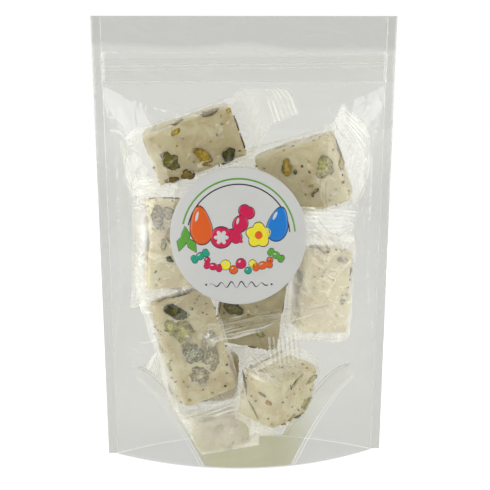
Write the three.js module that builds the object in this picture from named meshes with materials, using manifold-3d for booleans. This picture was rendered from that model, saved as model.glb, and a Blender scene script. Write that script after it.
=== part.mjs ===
// A clear stand-up pouch: two flat panels sealed along their sides, a press-to-close
// zip under the header, a gusset folded up between the panels as its base, and a round
// label on the front. Millimetres, +Z up, front towards -Y, origin under the middle of
// the base.
import * as THREE from "three";
import { mergeVertices } from "three/addons/utils/BufferGeometryUtils.js";
import Module from "manifold-3d";

// Driving dimensions, in millimetres.
const HEIGHT = 220;
const TOP_WIDTH = 150;
const BASE_WIDTH = 139;
const BASE_HALF_DEPTH = 27.5;
const FILM_HALF = 0.45; // half the thickness where both panels lie together
const SEAL_BAND = 4.6; // width of the sealed band along each side
const CLINGING_MARGIN = 5; // where the panels cling together beside the contents
const MARGIN_FROM = 45; // height where that margin starts
const MARGIN_FULL = 95; // height where it is at its widest
const MARGIN_END = 150; // height above which it narrows again
const GAP = 0.3; // between pieces that touch

// The zip: one strip inside each panel, with ribs that press into each other.
const ZIP_TOP_BELOW_RIM = 18.7;
const ZIP_HEIGHT = 13.3;
const ZIP_SLOT_HALF = 1.25;
const ZIP_STRIP = 0.5;
const ZIP_RIB = 0.7; // how far a rib stands out of its strip
const ZIP_RIB_WIDTH = 0.9;
const ZIP_RIB_PITCH = 3.5; // between the two pairs of ribs
const ZIP_CREST = 0.55; // how far the zip lifts each panel where the ribs are
const ZIP_CREST_REACH = 1.5; // half the width of that lift, in rib widths

// The filled body: how the panels bulge over what is packed inside.
const BULGE_FROM = 30; // height where the bulge starts to taper
const BULGE_TO = 200; // height where the taper would close
const TAPER_POWER = 3;
const TAPER_ROUND = 0.8;
const ARCH_BASE = 2; // power of the arch across the base, a lens
const ARCH_BODY = 3.4; // power of the flatter arch across the body
const ARCH_BLEND_HEIGHT = 85;
const SIDE_SLOPE_TOP = 0.78; // slope of the side facet at the shoulder
const SIDE_SLOPE_BODY = 1.15;
const SIDE_SLOPE_FROM = 172;
const SIDE_SLOPE_TO = 128;
const ROOF_SLOPE = 1; // slope of the facet under the zip
const CREASE = 1.6; // rounding of the creases between the facets

// The gusset: its seal curves down from the side seals to the middle of the base.
const GUSSET_FOLD_HEIGHT = 45; // the fold, where it meets the side seals
const GUSSET_SEAL_HEIGHT = 42; // top of the curved seal
const GUSSET_SEAL_IN = 21.5; // where the seal reaches the base, from the middle
const GUSSET_SEAL_OUT = 54.5; // where the seal is highest, from the middle
const GUSSET_SEAL_POWER = 1.5; // how fast the seal curves outwards as it rises
const SKIRT = 0.9; // thickness of the sealed skirt below the gusset
const RECESS_END = 65.2; // how far out the recess between the skirts reaches
const RECESS_LEAST = 0.05; // half the width where the recess closes

const LABEL_RADIUS = 33;
const LABEL_THICKNESS = 0.3;
const LABEL_X = -4.4;
const LABEL_Z = 115.2;

// How finely the surfaces are divided.
const ACROSS = 32;
const BODY_ROWS = 40;
const LABEL_RINGS = 8;
const LABEL_SECTORS = 56;
const RECESS_STATIONS = 18;
const SKIRT_STEPS = 5;
const FOLD_STEPS = 4;

const ZIP_TOP = HEIGHT - ZIP_TOP_BELOW_RIM;
const ZIP_BOTTOM = ZIP_TOP - ZIP_HEIGHT;
const ZIP_MIDDLE = (ZIP_TOP + ZIP_BOTTOM) / 2;
const ZIP_HALF = ZIP_SLOT_HALF + FILM_HALF; // half the header's thickness over the zip
const ZIP_SLOPE = 2; // height of the slope from the zip to the flat film
const BODY_TOP = ZIP_BOTTOM - ZIP_SLOPE;
const CUT_PAST = 1; // how far cutters reach past the face they open
const JOIN_DEPTH = 0.02; // how far joined shapes reach into each other
const MERGE_DISTANCE = 1e-4;

const wasm = await Module();
wasm.setup();

// three.js geometry to a manifold solid.
function solidOf(geometry) {
  const bare = new THREE.BufferGeometry();
  bare.setAttribute("position", geometry.getAttribute("position"));
  bare.setIndex(geometry.getIndex());
  const merged = mergeVertices(bare, MERGE_DISTANCE);
  return new wasm.Manifold(
    new wasm.Mesh({
      numProp: 3,
      vertProperties: new Float32Array(merged.getAttribute("position").array),
      triVerts: new Uint32Array(merged.getIndex().array),
    }),
  );
}

// A manifold solid back to three.js geometry.
function geometryOf(solid) {
  const mesh = solid.getMesh();
  const geometry = new THREE.BufferGeometry();
  geometry.setAttribute("position", new THREE.BufferAttribute(mesh.vertProperties, 3));
  geometry.setIndex(new THREE.BufferAttribute(mesh.triVerts, 1));
  geometry.computeVertexNormals();
  return geometry;
}

// A closed solid through rings that have the same number of points, with flat ends
// whose points pair up across the ring, first with last.
function pairedLoft(rings) {
  const count = rings[0].length;
  const pairs = count / 2;
  const positions = rings.flat().flatMap((p) => [p.x, p.y, p.z]);
  const faces = [];
  const quad = (a, b, c, d) => faces.push(a, b, c, a, c, d);
  for (let row = 0; row + 1 < rings.length; row++) {
    for (let k = 0; k < count; k++) {
      const next = (k + 1) % count;
      const low = row * count;
      const high = low + count;
      quad(low + k, low + next, high + next, high + k);
    }
  }
  const last = (rings.length - 1) * count;
  for (let k = 0; k + 1 < pairs; k++) {
    const across = count - 1 - k;
    quad(k + 1, k, across, across - 1);
    quad(last + k, last + k + 1, last + across - 1, last + across);
  }
  const geometry = new THREE.BufferGeometry();
  geometry.setAttribute("position", new THREE.Float32BufferAttribute(positions, 3));
  geometry.setIndex(faces);
  return geometry;
}

const mix = THREE.MathUtils.lerp;
const smooth = THREE.MathUtils.smoothstep;
const softMin = (a, b) => (a + b - Math.hypot(a - b, CREASE)) / 2;

function halfWidth(z) {
  return mix(BASE_WIDTH, TOP_WIDTH, z / HEIGHT) / 2;
}

// Half the width between the flat margins, which are widest beside the contents.
function bulgeHalfWidth(z) {
  const clinging = smooth(z, MARGIN_FROM, MARGIN_FULL) * (1 - smooth(z, MARGIN_END, BODY_TOP));
  return halfWidth(z) - SEAL_BAND - CLINGING_MARGIN * clinging;
}

// Half the thickness of the film, the seals and the zip, without the bulge.
function flatHalf(z) {
  const rise = smooth(z, BODY_TOP, ZIP_BOTTOM - GAP);
  const fall = 1 - smooth(z, ZIP_TOP + GAP, ZIP_TOP + GAP + ZIP_SLOPE);
  const offCrest = Math.abs(z - ZIP_MIDDLE) - ZIP_RIB_PITCH / 2;
  const reach = ZIP_RIB_WIDTH * ZIP_CREST_REACH;
  const crest = 1 - smooth(Math.abs(offCrest), ZIP_RIB_WIDTH / 2, reach);
  return mix(FILM_HALF, ZIP_HALF, Math.min(rise, fall)) + ZIP_CREST * crest;
}

// Half the depth of the filled body along its middle.
function fullness(z) {
  const t = THREE.MathUtils.clamp((z - BULGE_FROM) / (BULGE_TO - BULGE_FROM), 0, 1);
  return (BASE_HALF_DEPTH - FILM_HALF) * (1 - t ** TAPER_POWER) ** TAPER_ROUND;
}

// Depth of a panel in front of (or behind) the middle plane: an arch over the contents,
// cut by a facet from each side seal and by a sloping facet under the zip.
function panelDepth(x, z) {
  const inner = bulgeHalfWidth(z);
  const fromSeal = inner - Math.abs(x);
  const roof = (BODY_TOP - z) * ROOF_SLOPE;
  if (fromSeal <= 0 || roof <= 0) {
    return flatHalf(z);
  }
  const power = mix(ARCH_BASE, ARCH_BODY, smooth(z, 0, ARCH_BLEND_HEIGHT));
  const arch = fullness(z) * (1 - (Math.abs(x) / inner) ** power);
  const steepness = smooth(SIDE_SLOPE_FROM - z, 0, SIDE_SLOPE_FROM - SIDE_SLOPE_TO);
  const side = fromSeal * mix(SIDE_SLOPE_TOP, SIDE_SLOPE_BODY, steepness);
  const bulge = softMin(softMin(arch, side), roof) + CREASE / 2;
  return flatHalf(z) + Math.max(0, Math.min(bulge, arch, roof));
}

// Heights of the rings: even over the body, then the edges of the zip and the header.
function ringHeights() {
  const heights = [];
  for (let row = 0; row <= BODY_ROWS; row++) {
    heights.push((BODY_TOP * row) / BODY_ROWS);
  }
  heights.push(ZIP_BOTTOM - GAP);
  for (const side of [-1, 1]) {
    const crest = ZIP_MIDDLE + (side * ZIP_RIB_PITCH) / 2;
    for (const step of [-ZIP_CREST_REACH, -0.5, 0.5, ZIP_CREST_REACH]) {
      heights.push(crest + step * ZIP_RIB_WIDTH);
    }
  }
  heights.push(ZIP_TOP + GAP, ZIP_TOP + GAP + ZIP_SLOPE, HEIGHT);
  return heights;
}

function pouchRing(z) {
  const outer = halfWidth(z);
  const inner = bulgeHalfWidth(z);
  const xs = [-outer];
  for (let i = 0; i <= ACROSS; i++) {
    xs.push(mix(-inner, inner, i / ACROSS));
  }
  xs.push(outer);
  const front = xs.map((x) => new THREE.Vector3(x, -panelDepth(x, z), z));
  const back = xs.map((x) => new THREE.Vector3(x, panelDepth(x, z), z)).reverse();
  return [...front, ...back];
}

// Height of the gusset's curved seal, and of the fold between the two seals.
function sealHeight(x) {
  const t = THREE.MathUtils.clamp(
    (x - GUSSET_SEAL_IN) / (GUSSET_SEAL_OUT - GUSSET_SEAL_IN),
    0,
    1,
  );
  return GUSSET_SEAL_HEIGHT * (1 - (1 - t) ** GUSSET_SEAL_POWER);
}

function foldHeight(x) {
  return sealHeight(x) + (GUSSET_FOLD_HEIGHT - GUSSET_SEAL_HEIGHT) * smooth(x, 0, BASE_WIDTH / 2);
}

// The space under the gusset on one side, between the front and back skirts.
function gussetRecess(side) {
  const rings = [];
  for (let station = 0; station <= RECESS_STATIONS; station++) {
    const x = mix(GUSSET_SEAL_IN, RECESS_END, station / RECESS_STATIONS);
    const seal = sealHeight(x);
    const fold = foldHeight(x);
    const half = [];
    const inside = (z) => Math.max(panelDepth(x, z) - SKIRT, RECESS_LEAST);
    half.push([inside(0), -CUT_PAST]);
    for (let step = 0; step <= SKIRT_STEPS; step++) {
      const z = (seal * step) / SKIRT_STEPS;
      half.push([inside(z), z]);
    }
    for (let step = 1; step < FOLD_STEPS; step++) {
      const t = step / FOLD_STEPS;
      half.push([inside(seal) * (1 - t), mix(seal, fold, Math.sin((t * Math.PI) / 2))]);
    }
    half.push([RECESS_LEAST / 2, fold]);
    const front = half.map(([y, z]) => new THREE.Vector3(side * x, -side * y, z));
    const back = half.map(([y, z]) => new THREE.Vector3(side * x, side * y, z)).reverse();
    rings.push([...front, ...back]);
  }
  return solidOf(pairedLoft(rings.map((ring) => ring.reverse())));
}

function box(width, depth, height, x, y, z) {
  const geometry = new THREE.BoxGeometry(width, depth, height);
  geometry.translate(x, y, z);
  return solidOf(geometry);
}

function pouchGeometry() {
  const slot = box(
    TOP_WIDTH + 2 * CUT_PAST,
    2 * ZIP_SLOT_HALF,
    ZIP_HEIGHT + 2 * GAP,
    0,
    0,
    ZIP_MIDDLE,
  );
  const outside = solidOf(pairedLoft(ringHeights().map(pouchRing)));
  return geometryOf(
    outside.subtract(gussetRecess(-1)).subtract(gussetRecess(1)).subtract(slot),
  );
}

// One zip strip: a flange against its panel, with ribs on its inner face. The back
// strip's ribs sit lower by one rib and a gap, so that they hook under the front's.
function zipStripGeometry(side) {
  const width = 2 * halfWidth(ZIP_BOTTOM);
  const flangeY = side * (ZIP_SLOT_HALF - ZIP_STRIP / 2 - GAP / 2);
  let strip = box(width, ZIP_STRIP, ZIP_HEIGHT, 0, flangeY, ZIP_MIDDLE);
  const shift = (side * (ZIP_RIB_WIDTH + GAP)) / 2;
  for (const row of [-1, 1]) {
    const ribZ = ZIP_MIDDLE + (row * ZIP_RIB_PITCH) / 2 + shift;
    const ribY = flangeY - (side * (ZIP_STRIP + ZIP_RIB)) / 2 + side * JOIN_DEPTH;
    strip = strip.add(box(width, ZIP_RIB, ZIP_RIB_WIDTH, 0, ribY, ribZ));
  }
  return geometryOf(strip);
}

// The label: a thin disc that follows the front panel a gap away from it.
function labelGeometry() {
  const positions = [];
  const faces = [];
  const onPanel = (x, z, lift) => positions.push(x, -panelDepth(x, z) - lift, z);
  const lifts = [GAP + LABEL_THICKNESS, GAP];
  const layerSize = 1 + LABEL_RINGS * LABEL_SECTORS;
  for (const lift of lifts) {
    onPanel(LABEL_X, LABEL_Z, lift);
    for (let ring = 1; ring <= LABEL_RINGS; ring++) {
      const radius = (LABEL_RADIUS * ring) / LABEL_RINGS;
      for (let sector = 0; sector < LABEL_SECTORS; sector++) {
        const angle = (2 * Math.PI * sector) / LABEL_SECTORS;
        onPanel(LABEL_X + radius * Math.cos(angle), LABEL_Z + radius * Math.sin(angle), lift);
      }
    }
  }
  const at = (layer, ring, sector) =>
    layer * layerSize + 1 + (ring - 1) * LABEL_SECTORS + (sector % LABEL_SECTORS);
  for (let sector = 0; sector < LABEL_SECTORS; sector++) {
    faces.push(0, at(0, 1, sector), at(0, 1, sector + 1));
    faces.push(layerSize, at(1, 1, sector + 1), at(1, 1, sector));
    for (let ring = 1; ring < LABEL_RINGS; ring++) {
      const [a, b] = [at(0, ring, sector), at(0, ring, sector + 1)];
      const [c, d] = [at(0, ring + 1, sector + 1), at(0, ring + 1, sector)];
      faces.push(a, d, c, a, c, b);
      const [e, f] = [a + layerSize, b + layerSize];
      const [g, h] = [c + layerSize, d + layerSize];
      faces.push(e, g, h, e, f, g);
    }
    const [rimA, rimB] = [at(0, LABEL_RINGS, sector), at(0, LABEL_RINGS, sector + 1)];
    faces.push(rimA, rimA + layerSize, rimB + layerSize, rimA, rimB + layerSize, rimB);
  }
  const geometry = new THREE.BufferGeometry();
  geometry.setAttribute("position", new THREE.Float32BufferAttribute(positions, 3));
  geometry.setIndex(faces);
  geometry.computeVertexNormals();
  return geometry;
}

const filmMaterial = new THREE.MeshStandardMaterial({
  color: 0xdcded8,
  roughness: 0.12,
  metalness: 0,
  transparent: true,
  opacity: 0.35,
});
const zipMaterial = new THREE.MeshStandardMaterial({
  color: 0xe4e6e1,
  roughness: 0.3,
  metalness: 0,
});
const labelMaterial = new THREE.MeshStandardMaterial({
  color: 0xe9e9e8,
  roughness: 0.55,
  metalness: 0,
});

function piece(name, geometry, material) {
  const mesh = new THREE.Mesh(geometry, material);
  mesh.name = name;
  return mesh;
}

const zip = new THREE.Group();
zip.add(piece("zip_front_strip", zipStripGeometry(-1), zipMaterial));
zip.add(piece("zip_back_strip", zipStripGeometry(1), zipMaterial));

const pouch = new THREE.Group();
pouch.add(piece("pouch", pouchGeometry(), filmMaterial));
pouch.add(zip);
pouch.add(piece("label", labelGeometry(), labelMaterial));

export default pouch;
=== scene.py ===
"""Clear stand-up pouch packed with wrapped blocks of pistachio nougat.

Builds the film, zip, label, nougat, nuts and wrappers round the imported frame, and the
studio they stand in. Shapes are worked out in millimetres and stored in metres.
"""

import itertools
import math
from typing import NamedTuple

import bpy
import numpy as np
from bpy.props import FloatProperty, FloatVectorProperty, PointerProperty
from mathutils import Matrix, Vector


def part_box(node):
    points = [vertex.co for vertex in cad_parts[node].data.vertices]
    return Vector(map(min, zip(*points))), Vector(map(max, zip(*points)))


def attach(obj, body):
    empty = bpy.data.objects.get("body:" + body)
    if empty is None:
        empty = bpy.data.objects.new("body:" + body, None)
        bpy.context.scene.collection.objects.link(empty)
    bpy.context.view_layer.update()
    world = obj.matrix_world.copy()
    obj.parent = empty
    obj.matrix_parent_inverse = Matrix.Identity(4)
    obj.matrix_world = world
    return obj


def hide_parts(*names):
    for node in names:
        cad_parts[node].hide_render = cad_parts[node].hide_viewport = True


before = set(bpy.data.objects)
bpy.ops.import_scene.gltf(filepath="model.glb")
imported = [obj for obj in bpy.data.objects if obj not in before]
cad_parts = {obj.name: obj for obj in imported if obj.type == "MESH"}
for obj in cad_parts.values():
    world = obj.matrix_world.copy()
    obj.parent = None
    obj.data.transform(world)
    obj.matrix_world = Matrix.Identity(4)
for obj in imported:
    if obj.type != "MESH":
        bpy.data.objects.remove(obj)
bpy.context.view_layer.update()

bl_info = {
    "name": "Nougat Pouch",
    "version": (1, 0, 0),
    "blender": (4, 5, 0),
    "location": "View3D > Sidebar > Nougat Pouch",
    "description": "Builds a clear stand-up pouch of wrapped pistachio nougat",
    "category": "Add Mesh",
}

BODY = "root"
MM = 0.001


def node_box(name):
    """Lowest and highest corner of a frame node, in millimetres."""
    low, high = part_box(name)
    return np.array(low) / MM, np.array(high) / MM


POUCH_LOW, POUCH_HIGH = node_box("pouch")
LABEL_LOW, LABEL_HIGH = node_box("label")
ZIP_LOW, ZIP_HIGH = node_box("zip_front_strip")

# The pouch, in millimetres.
HEIGHT = POUCH_HIGH[2]
TOP_WIDTH = POUCH_HIGH[0] - POUCH_LOW[0]
BASE_WIDTH = 139
BASE_HALF_DEPTH = POUCH_HIGH[1]
FILM_HALF = 0.45
SEAL_BAND = 4.6
CLINGING_MARGIN = 5
MARGIN_HEIGHTS = (45, 95, 150)
ZIP_TOP = ZIP_HIGH[2]
ZIP_BOTTOM = ZIP_LOW[2]
ZIP_MIDDLE = (ZIP_TOP + ZIP_BOTTOM) / 2
BODY_TOP = ZIP_BOTTOM - 2
BULGE_FROM = 30
BULGE_TO = 200
TAPER_POWER = 3
TAPER_ROUND = 0.8
ARCH_BASE = 2
ARCH_BODY = 3.4
ARCH_BLEND_HEIGHT = 85
SIDE_SLOPE_TOP = 0.78
SIDE_SLOPE_BODY = 1.15
SIDE_SLOPE_FROM = 172
SIDE_SLOPE_TO = 128
ROOF_SLOPE = 1
CREASE = 1.6
SEALED_HALF = 0.14
ZIP_SWELL = 1.1
HEADER_RIPPLE = 0.9
MARGIN_RIPPLE = 0.35
SAG_BROAD = 0.55
SAG_UPRIGHT = 0.2
SAG_CREASE = 0.35

GUSSET_FOLD_HEIGHT = 45
GUSSET_SEAL_HEIGHT = 42
GUSSET_SEAL_IN = 21.5
GUSSET_SEAL_OUT = 54.5
GUSSET_SEAL_POWER = 1.5
GUSSET_END = 55.5

LABEL_X = (LABEL_LOW[0] + LABEL_HIGH[0]) / 2
LABEL_Z = (LABEL_LOW[2] + LABEL_HIGH[2]) / 2
LABEL_RADIUS = (LABEL_HIGH[0] - LABEL_LOW[0]) / 2

LATTICE = 32  # cells before the noise repeats
RIBBON_SIDES = 8


# ---------------------------------------------------------------- numbers


def mix(a, b, t):
    """From a, where t is 0, to b, where it is 1."""
    return a + (b - a) * t


def smooth(value, low, high):
    """Eases from 0 at low to 1 at high."""
    t = np.clip((np.asarray(value, float) - low) / (high - low), 0, 1)
    return t * t * (3 - 2 * t)


def soft_min(a, b):
    """The lower of two heights, rounded where they cross."""
    return (a + b - np.hypot(a - b, CREASE)) / 2


def lattice_noise(points, cell, seed):
    """Smooth noise from -1 to 1 at points (..., 3), with cells of that size."""
    table = np.random.default_rng(seed).uniform(-1, 1, (LATTICE,) * 3)
    place = np.asarray(points, float) / np.asarray(cell, float)
    low = np.floor(place).astype(int)
    part = place - low
    part = part * part * (3 - 2 * part)
    total = np.zeros(place.shape[:-1])
    for corner in itertools.product((0, 1), repeat=3):
        weight = np.prod(np.where(corner, part, 1 - part), axis=-1)
        i, j, k = np.moveaxis((low + corner) % LATTICE, -1, 0)
        total += weight * table[i, j, k]
    return total


def ridges(points, cell, seed, sharpness):
    """Thin ridges, 1 on a crease and falling to 0 beside it."""
    return np.exp(-sharpness * np.abs(lattice_noise(points, cell, seed)))


# ---------------------------------------------------------------- the pouch's form


def half_width(z):
    """Half the pouch's width at a height, out to the edge of its seals."""
    return mix(BASE_WIDTH, TOP_WIDTH, z / HEIGHT) / 2


def bulge_half_width(z):
    """Half the width of the part that bulges, inside the seals and flat margins."""
    low, full, end = MARGIN_HEIGHTS
    clinging = smooth(z, low, full) * (1 - smooth(z, end, BODY_TOP))
    return half_width(z) - SEAL_BAND - CLINGING_MARGIN * clinging


def fullness(z):
    """How far the middle of the pouch stands out at a height."""
    t = np.clip((z - BULGE_FROM) / (BULGE_TO - BULGE_FROM), 0, 1)
    return (BASE_HALF_DEPTH - FILM_HALF) * (1 - t**TAPER_POWER) ** TAPER_ROUND


def bulge_depth(x, z):
    """How far a panel stands out from the flat film, without its small folds."""
    inner = bulge_half_width(z)
    from_seal = inner - np.abs(x)
    roof = (BODY_TOP - z) * ROOF_SLOPE
    power = mix(ARCH_BASE, ARCH_BODY, smooth(z, 0, ARCH_BLEND_HEIGHT))
    arch = fullness(z) * (1 - np.clip(np.abs(x) / inner, 0, 1) ** power)
    reach = SIDE_SLOPE_FROM - SIDE_SLOPE_TO
    steepness = smooth(SIDE_SLOPE_FROM - z, 0, reach)
    side = from_seal * mix(SIDE_SLOPE_TOP, SIDE_SLOPE_BODY, steepness)
    bulge = soft_min(soft_min(arch, side), roof) + CREASE / 2
    bulge = np.maximum(0, np.minimum(np.minimum(bulge, arch), roof))
    return np.where((from_seal <= 0) | (roof <= 0), 0, bulge)


def flat_half(x, z):
    """Half the thickness of the two panels where they lie together."""
    over_zip = smooth(z, BODY_TOP, ZIP_BOTTOM) * (1 - smooth(z, ZIP_TOP, ZIP_TOP + 2))
    sealed = smooth(np.abs(x) - half_width(z) + SEAL_BAND, -1, 0.5)
    return mix(FILM_HALF, SEALED_HALF, sealed) + ZIP_SWELL * over_zip * (1 - sealed)


def wave(x, z):
    """Shared ripple of both panels where no contents hold them apart."""
    place = np.stack([x, z, np.zeros_like(x)], -1)
    loose = smooth(z, 165, 190)
    margin = smooth(np.abs(x), 52, 66) * smooth(z, 20, 60)
    header = lattice_noise(place, (34, 60, 1), 21) * loose
    side = lattice_noise(place, (40, 24, 1), 22) * margin
    return HEADER_RIPPLE * header + MARGIN_RIPPLE * side


def slack(x, z, side):
    """How far a panel sags inwards between what it wraps."""
    place = np.stack([x, z, np.full_like(x, 40 * side)], -1)
    room = smooth(bulge_depth(x, z), 1.5, 9)
    free = smooth(np.hypot(x - LABEL_X, z - LABEL_Z), LABEL_RADIUS + 1, LABEL_RADIUS + 8)
    if side > 0:
        free = np.ones_like(x)
    broad = 0.5 + 0.5 * lattice_noise(place, 24, 3)
    upright = 0.5 + 0.5 * lattice_noise(place, (7, 30, 1), 5)
    crease = ridges(place, (20, 26, 1), 9, 14)
    base = 1 - smooth(z, 0, 10)
    sag = SAG_BROAD * broad + SAG_UPRIGHT * upright + SAG_CREASE * crease
    return room * free * sag * (1 - 0.8 * base)


def film_depth(x, z, side):
    """How far the outer face of a panel stands from the pouch's middle sheet."""
    return flat_half(x, z) + bulge_depth(x, z) - slack(x, z, side)


def panel_y(x, z, side):
    """Depth of the front (side -1) or back (side 1) panel's outer face."""
    return wave(x, z) + side * np.maximum(film_depth(x, z, side), SEALED_HALF)


def seal_height(x):
    """Height of the curved seal that joins the gusset to a panel."""
    t = np.clip((np.abs(x) - GUSSET_SEAL_IN) / (GUSSET_SEAL_OUT - GUSSET_SEAL_IN), 0, 1)
    return GUSSET_SEAL_HEIGHT * (1 - (1 - t) ** GUSSET_SEAL_POWER)


def fold_height(x):
    """Height of the gusset's own fold, midway between the panels."""
    rise = GUSSET_FOLD_HEIGHT - GUSSET_SEAL_HEIGHT
    return seal_height(x) + rise * smooth(np.abs(x), 0, BASE_WIDTH / 2)


def floor_height(x, y):
    """Height of the gusset film that the contents stand on."""
    reach = np.maximum(bulge_depth(x, seal_height(x)), 1)
    out = np.clip(np.abs(y) / reach, 0, 1)
    return mix(seal_height(x), fold_height(x), np.sin((1 - out) * math.pi / 2))


INSIDE_GAP = 0.5
SIDE_GAP = 0.4
TOP_GAP = 1
TOP_EASE = 4
COMPRESS_FROM = 0.85


def squeeze(value, limit):
    """Keeps value under limit, easing into it so that layers keep their order."""
    share = np.abs(value) / limit
    past = (share - COMPRESS_FROM) / (1 - COMPRESS_FROM)
    eased = COMPRESS_FROM + (1 - COMPRESS_FROM) * (1 - np.exp(-np.maximum(past, 0)))
    return np.sign(value) * limit * np.where(share < COMPRESS_FROM, share, eased)


def keep_inside(points):
    """Moves points that would leave the pouch to just inside its film."""
    x, y, z = points.T
    past = z - BODY_TOP + TOP_GAP + TOP_EASE
    z = np.where(past > 0, z - past + TOP_EASE * (1 - np.exp(-np.maximum(past, 0) / TOP_EASE)), z)
    x = squeeze(x, bulge_half_width(z) - SIDE_GAP)
    z = np.maximum(z, floor_height(x, y) + INSIDE_GAP)
    depth = np.where(y < 0, film_depth(x, z, -1), film_depth(x, z, 1))
    room = np.maximum(depth - INSIDE_GAP, 0.1)
    return np.stack([x, squeeze(y, room), z], -1)


# ---------------------------------------------------------------- meshes


class Mesh(NamedTuple):
    """Points in millimetres, and faces of four corners; -1 leaves a corner out."""

    points: np.ndarray
    faces: np.ndarray


def join_meshes(meshes):
    """Several meshes as one."""
    starts = np.cumsum([0] + [len(mesh.points) for mesh in meshes[:-1]])
    faces = [
        np.where(mesh.faces < 0, -1, mesh.faces + start) for mesh, start in zip(meshes, starts)
    ]
    return Mesh(np.concatenate([mesh.points for mesh in meshes]), np.concatenate(faces))


def add_piece(name, shape, material):
    """A smooth-shaded mesh piece that rides on the pouch."""
    corners = shape.faces[shape.faces >= 0]
    sizes = (shape.faces >= 0).sum(axis=1)
    mesh = bpy.data.meshes.new(name)
    mesh.vertices.add(len(shape.points))
    mesh.vertices.foreach_set("co", (shape.points * MM).astype(np.float32).ravel())
    mesh.loops.add(len(corners))
    mesh.loops.foreach_set("vertex_index", corners.astype(np.int32))
    mesh.polygons.add(len(sizes))
    mesh.polygons.foreach_set("loop_start", (np.cumsum(sizes) - sizes).astype(np.int32))
    mesh.polygons.foreach_set("use_smooth", np.ones(len(sizes), bool))
    mesh.update(calc_edges=True)
    mesh.validate()
    mesh.materials.append(material)
    piece = bpy.data.objects.new(name, mesh)
    bpy.context.scene.collection.objects.link(piece)
    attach(piece, BODY)
    return piece


def set_values(piece, name, values):
    """A number for each vertex, which the piece's material reads by name."""
    values = np.asarray(values, np.float32)
    attribute = piece.data.attributes.new(name, "FLOAT", "POINT")
    attribute.data.foreach_set("value", values.ravel())


def set_film(piece, clear, milky):
    """What a film piece lets through, as grey levels or colours, and its haze."""
    count = len(piece.data.vertices)
    clear = np.asarray(clear, float)
    if clear.ndim < 2:
        clear = np.repeat(np.broadcast_to(clear, (count,))[:, None], 3, axis=1)
    set_colours(piece, "clear", clear)
    set_values(piece, "milky", np.broadcast_to(milky, (count,)))


def set_colours(piece, name, colours):
    """A colour for each vertex, which the piece's material reads by name."""
    attribute = piece.data.attributes.new(name, "FLOAT_COLOR", "POINT")
    flat = np.concatenate([colours, np.ones((len(colours), 1))], axis=1)
    attribute.data.foreach_set("color", flat.astype(np.float32).ravel())


def sheet_faces(rows, columns):
    """Faces of a closed sheet from two layers of a grid, the first facing out."""
    index = np.arange(rows * columns).reshape(rows, columns)
    corners = [index[:-1, :-1], index[:-1, 1:], index[1:, 1:], index[1:, :-1]]
    outer = np.stack(corners, -1).reshape(-1, 4)
    layer = rows * columns
    edge = [index[0, :-1], index[:-1, -1], index[-1, :0:-1], index[:0:-1, 0]]
    loop = np.concatenate(edge)
    after = np.roll(loop, -1)
    rim = np.stack([after, loop, loop + layer, after + layer], -1)
    return np.concatenate([outer, outer[:, ::-1] + layer, rim])


def closed_sheet(outer, inner):
    """Points and faces of a thin sheet between two grids (rows, columns, 3)."""
    rows, columns = outer.shape[:2]
    points = np.concatenate([outer.reshape(-1, 3), inner.reshape(-1, 3)])
    return Mesh(points, sheet_faces(rows, columns))


def tube_faces(rings, around):
    """Faces of a closed tube of rings, with a fan round a last point at each end."""
    index = np.arange(rings * around).reshape(rings, around)
    after = np.roll(index, -1, axis=1)
    quads = np.stack([index[:-1], after[:-1], after[1:], index[1:]], -1).reshape(-1, 4)
    first = np.full(around, rings * around)
    none = np.full(around, -1)
    caps = [
        np.stack([after[0], index[0], first, none], -1),
        np.stack([index[-1], after[-1], first + 1, none], -1),
    ]
    return np.concatenate([quads, *caps])


def flipped(faces):
    """The same faces, seen from the other side."""
    return faces[:, [2, 1, 0, 3]]


def ribbon(path, across, out, width, height):
    """A thin raised line along a path, with a round section."""
    angles = np.arange(RIBBON_SIDES) * 2 * math.pi / RIBBON_SIDES
    ring = across[:, None] * np.cos(angles)[None, :, None] * width / 2
    ring = ring + out[:, None] * np.sin(angles)[None, :, None] * height / 2
    points = (path[:, None] + ring).reshape(-1, 3)
    ends = np.stack([path[0], path[-1]])
    return Mesh(np.concatenate([points, ends]), flipped(tube_faces(len(path), RIBBON_SIDES)))


# ---------------------------------------------------------------- shader nodes


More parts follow.
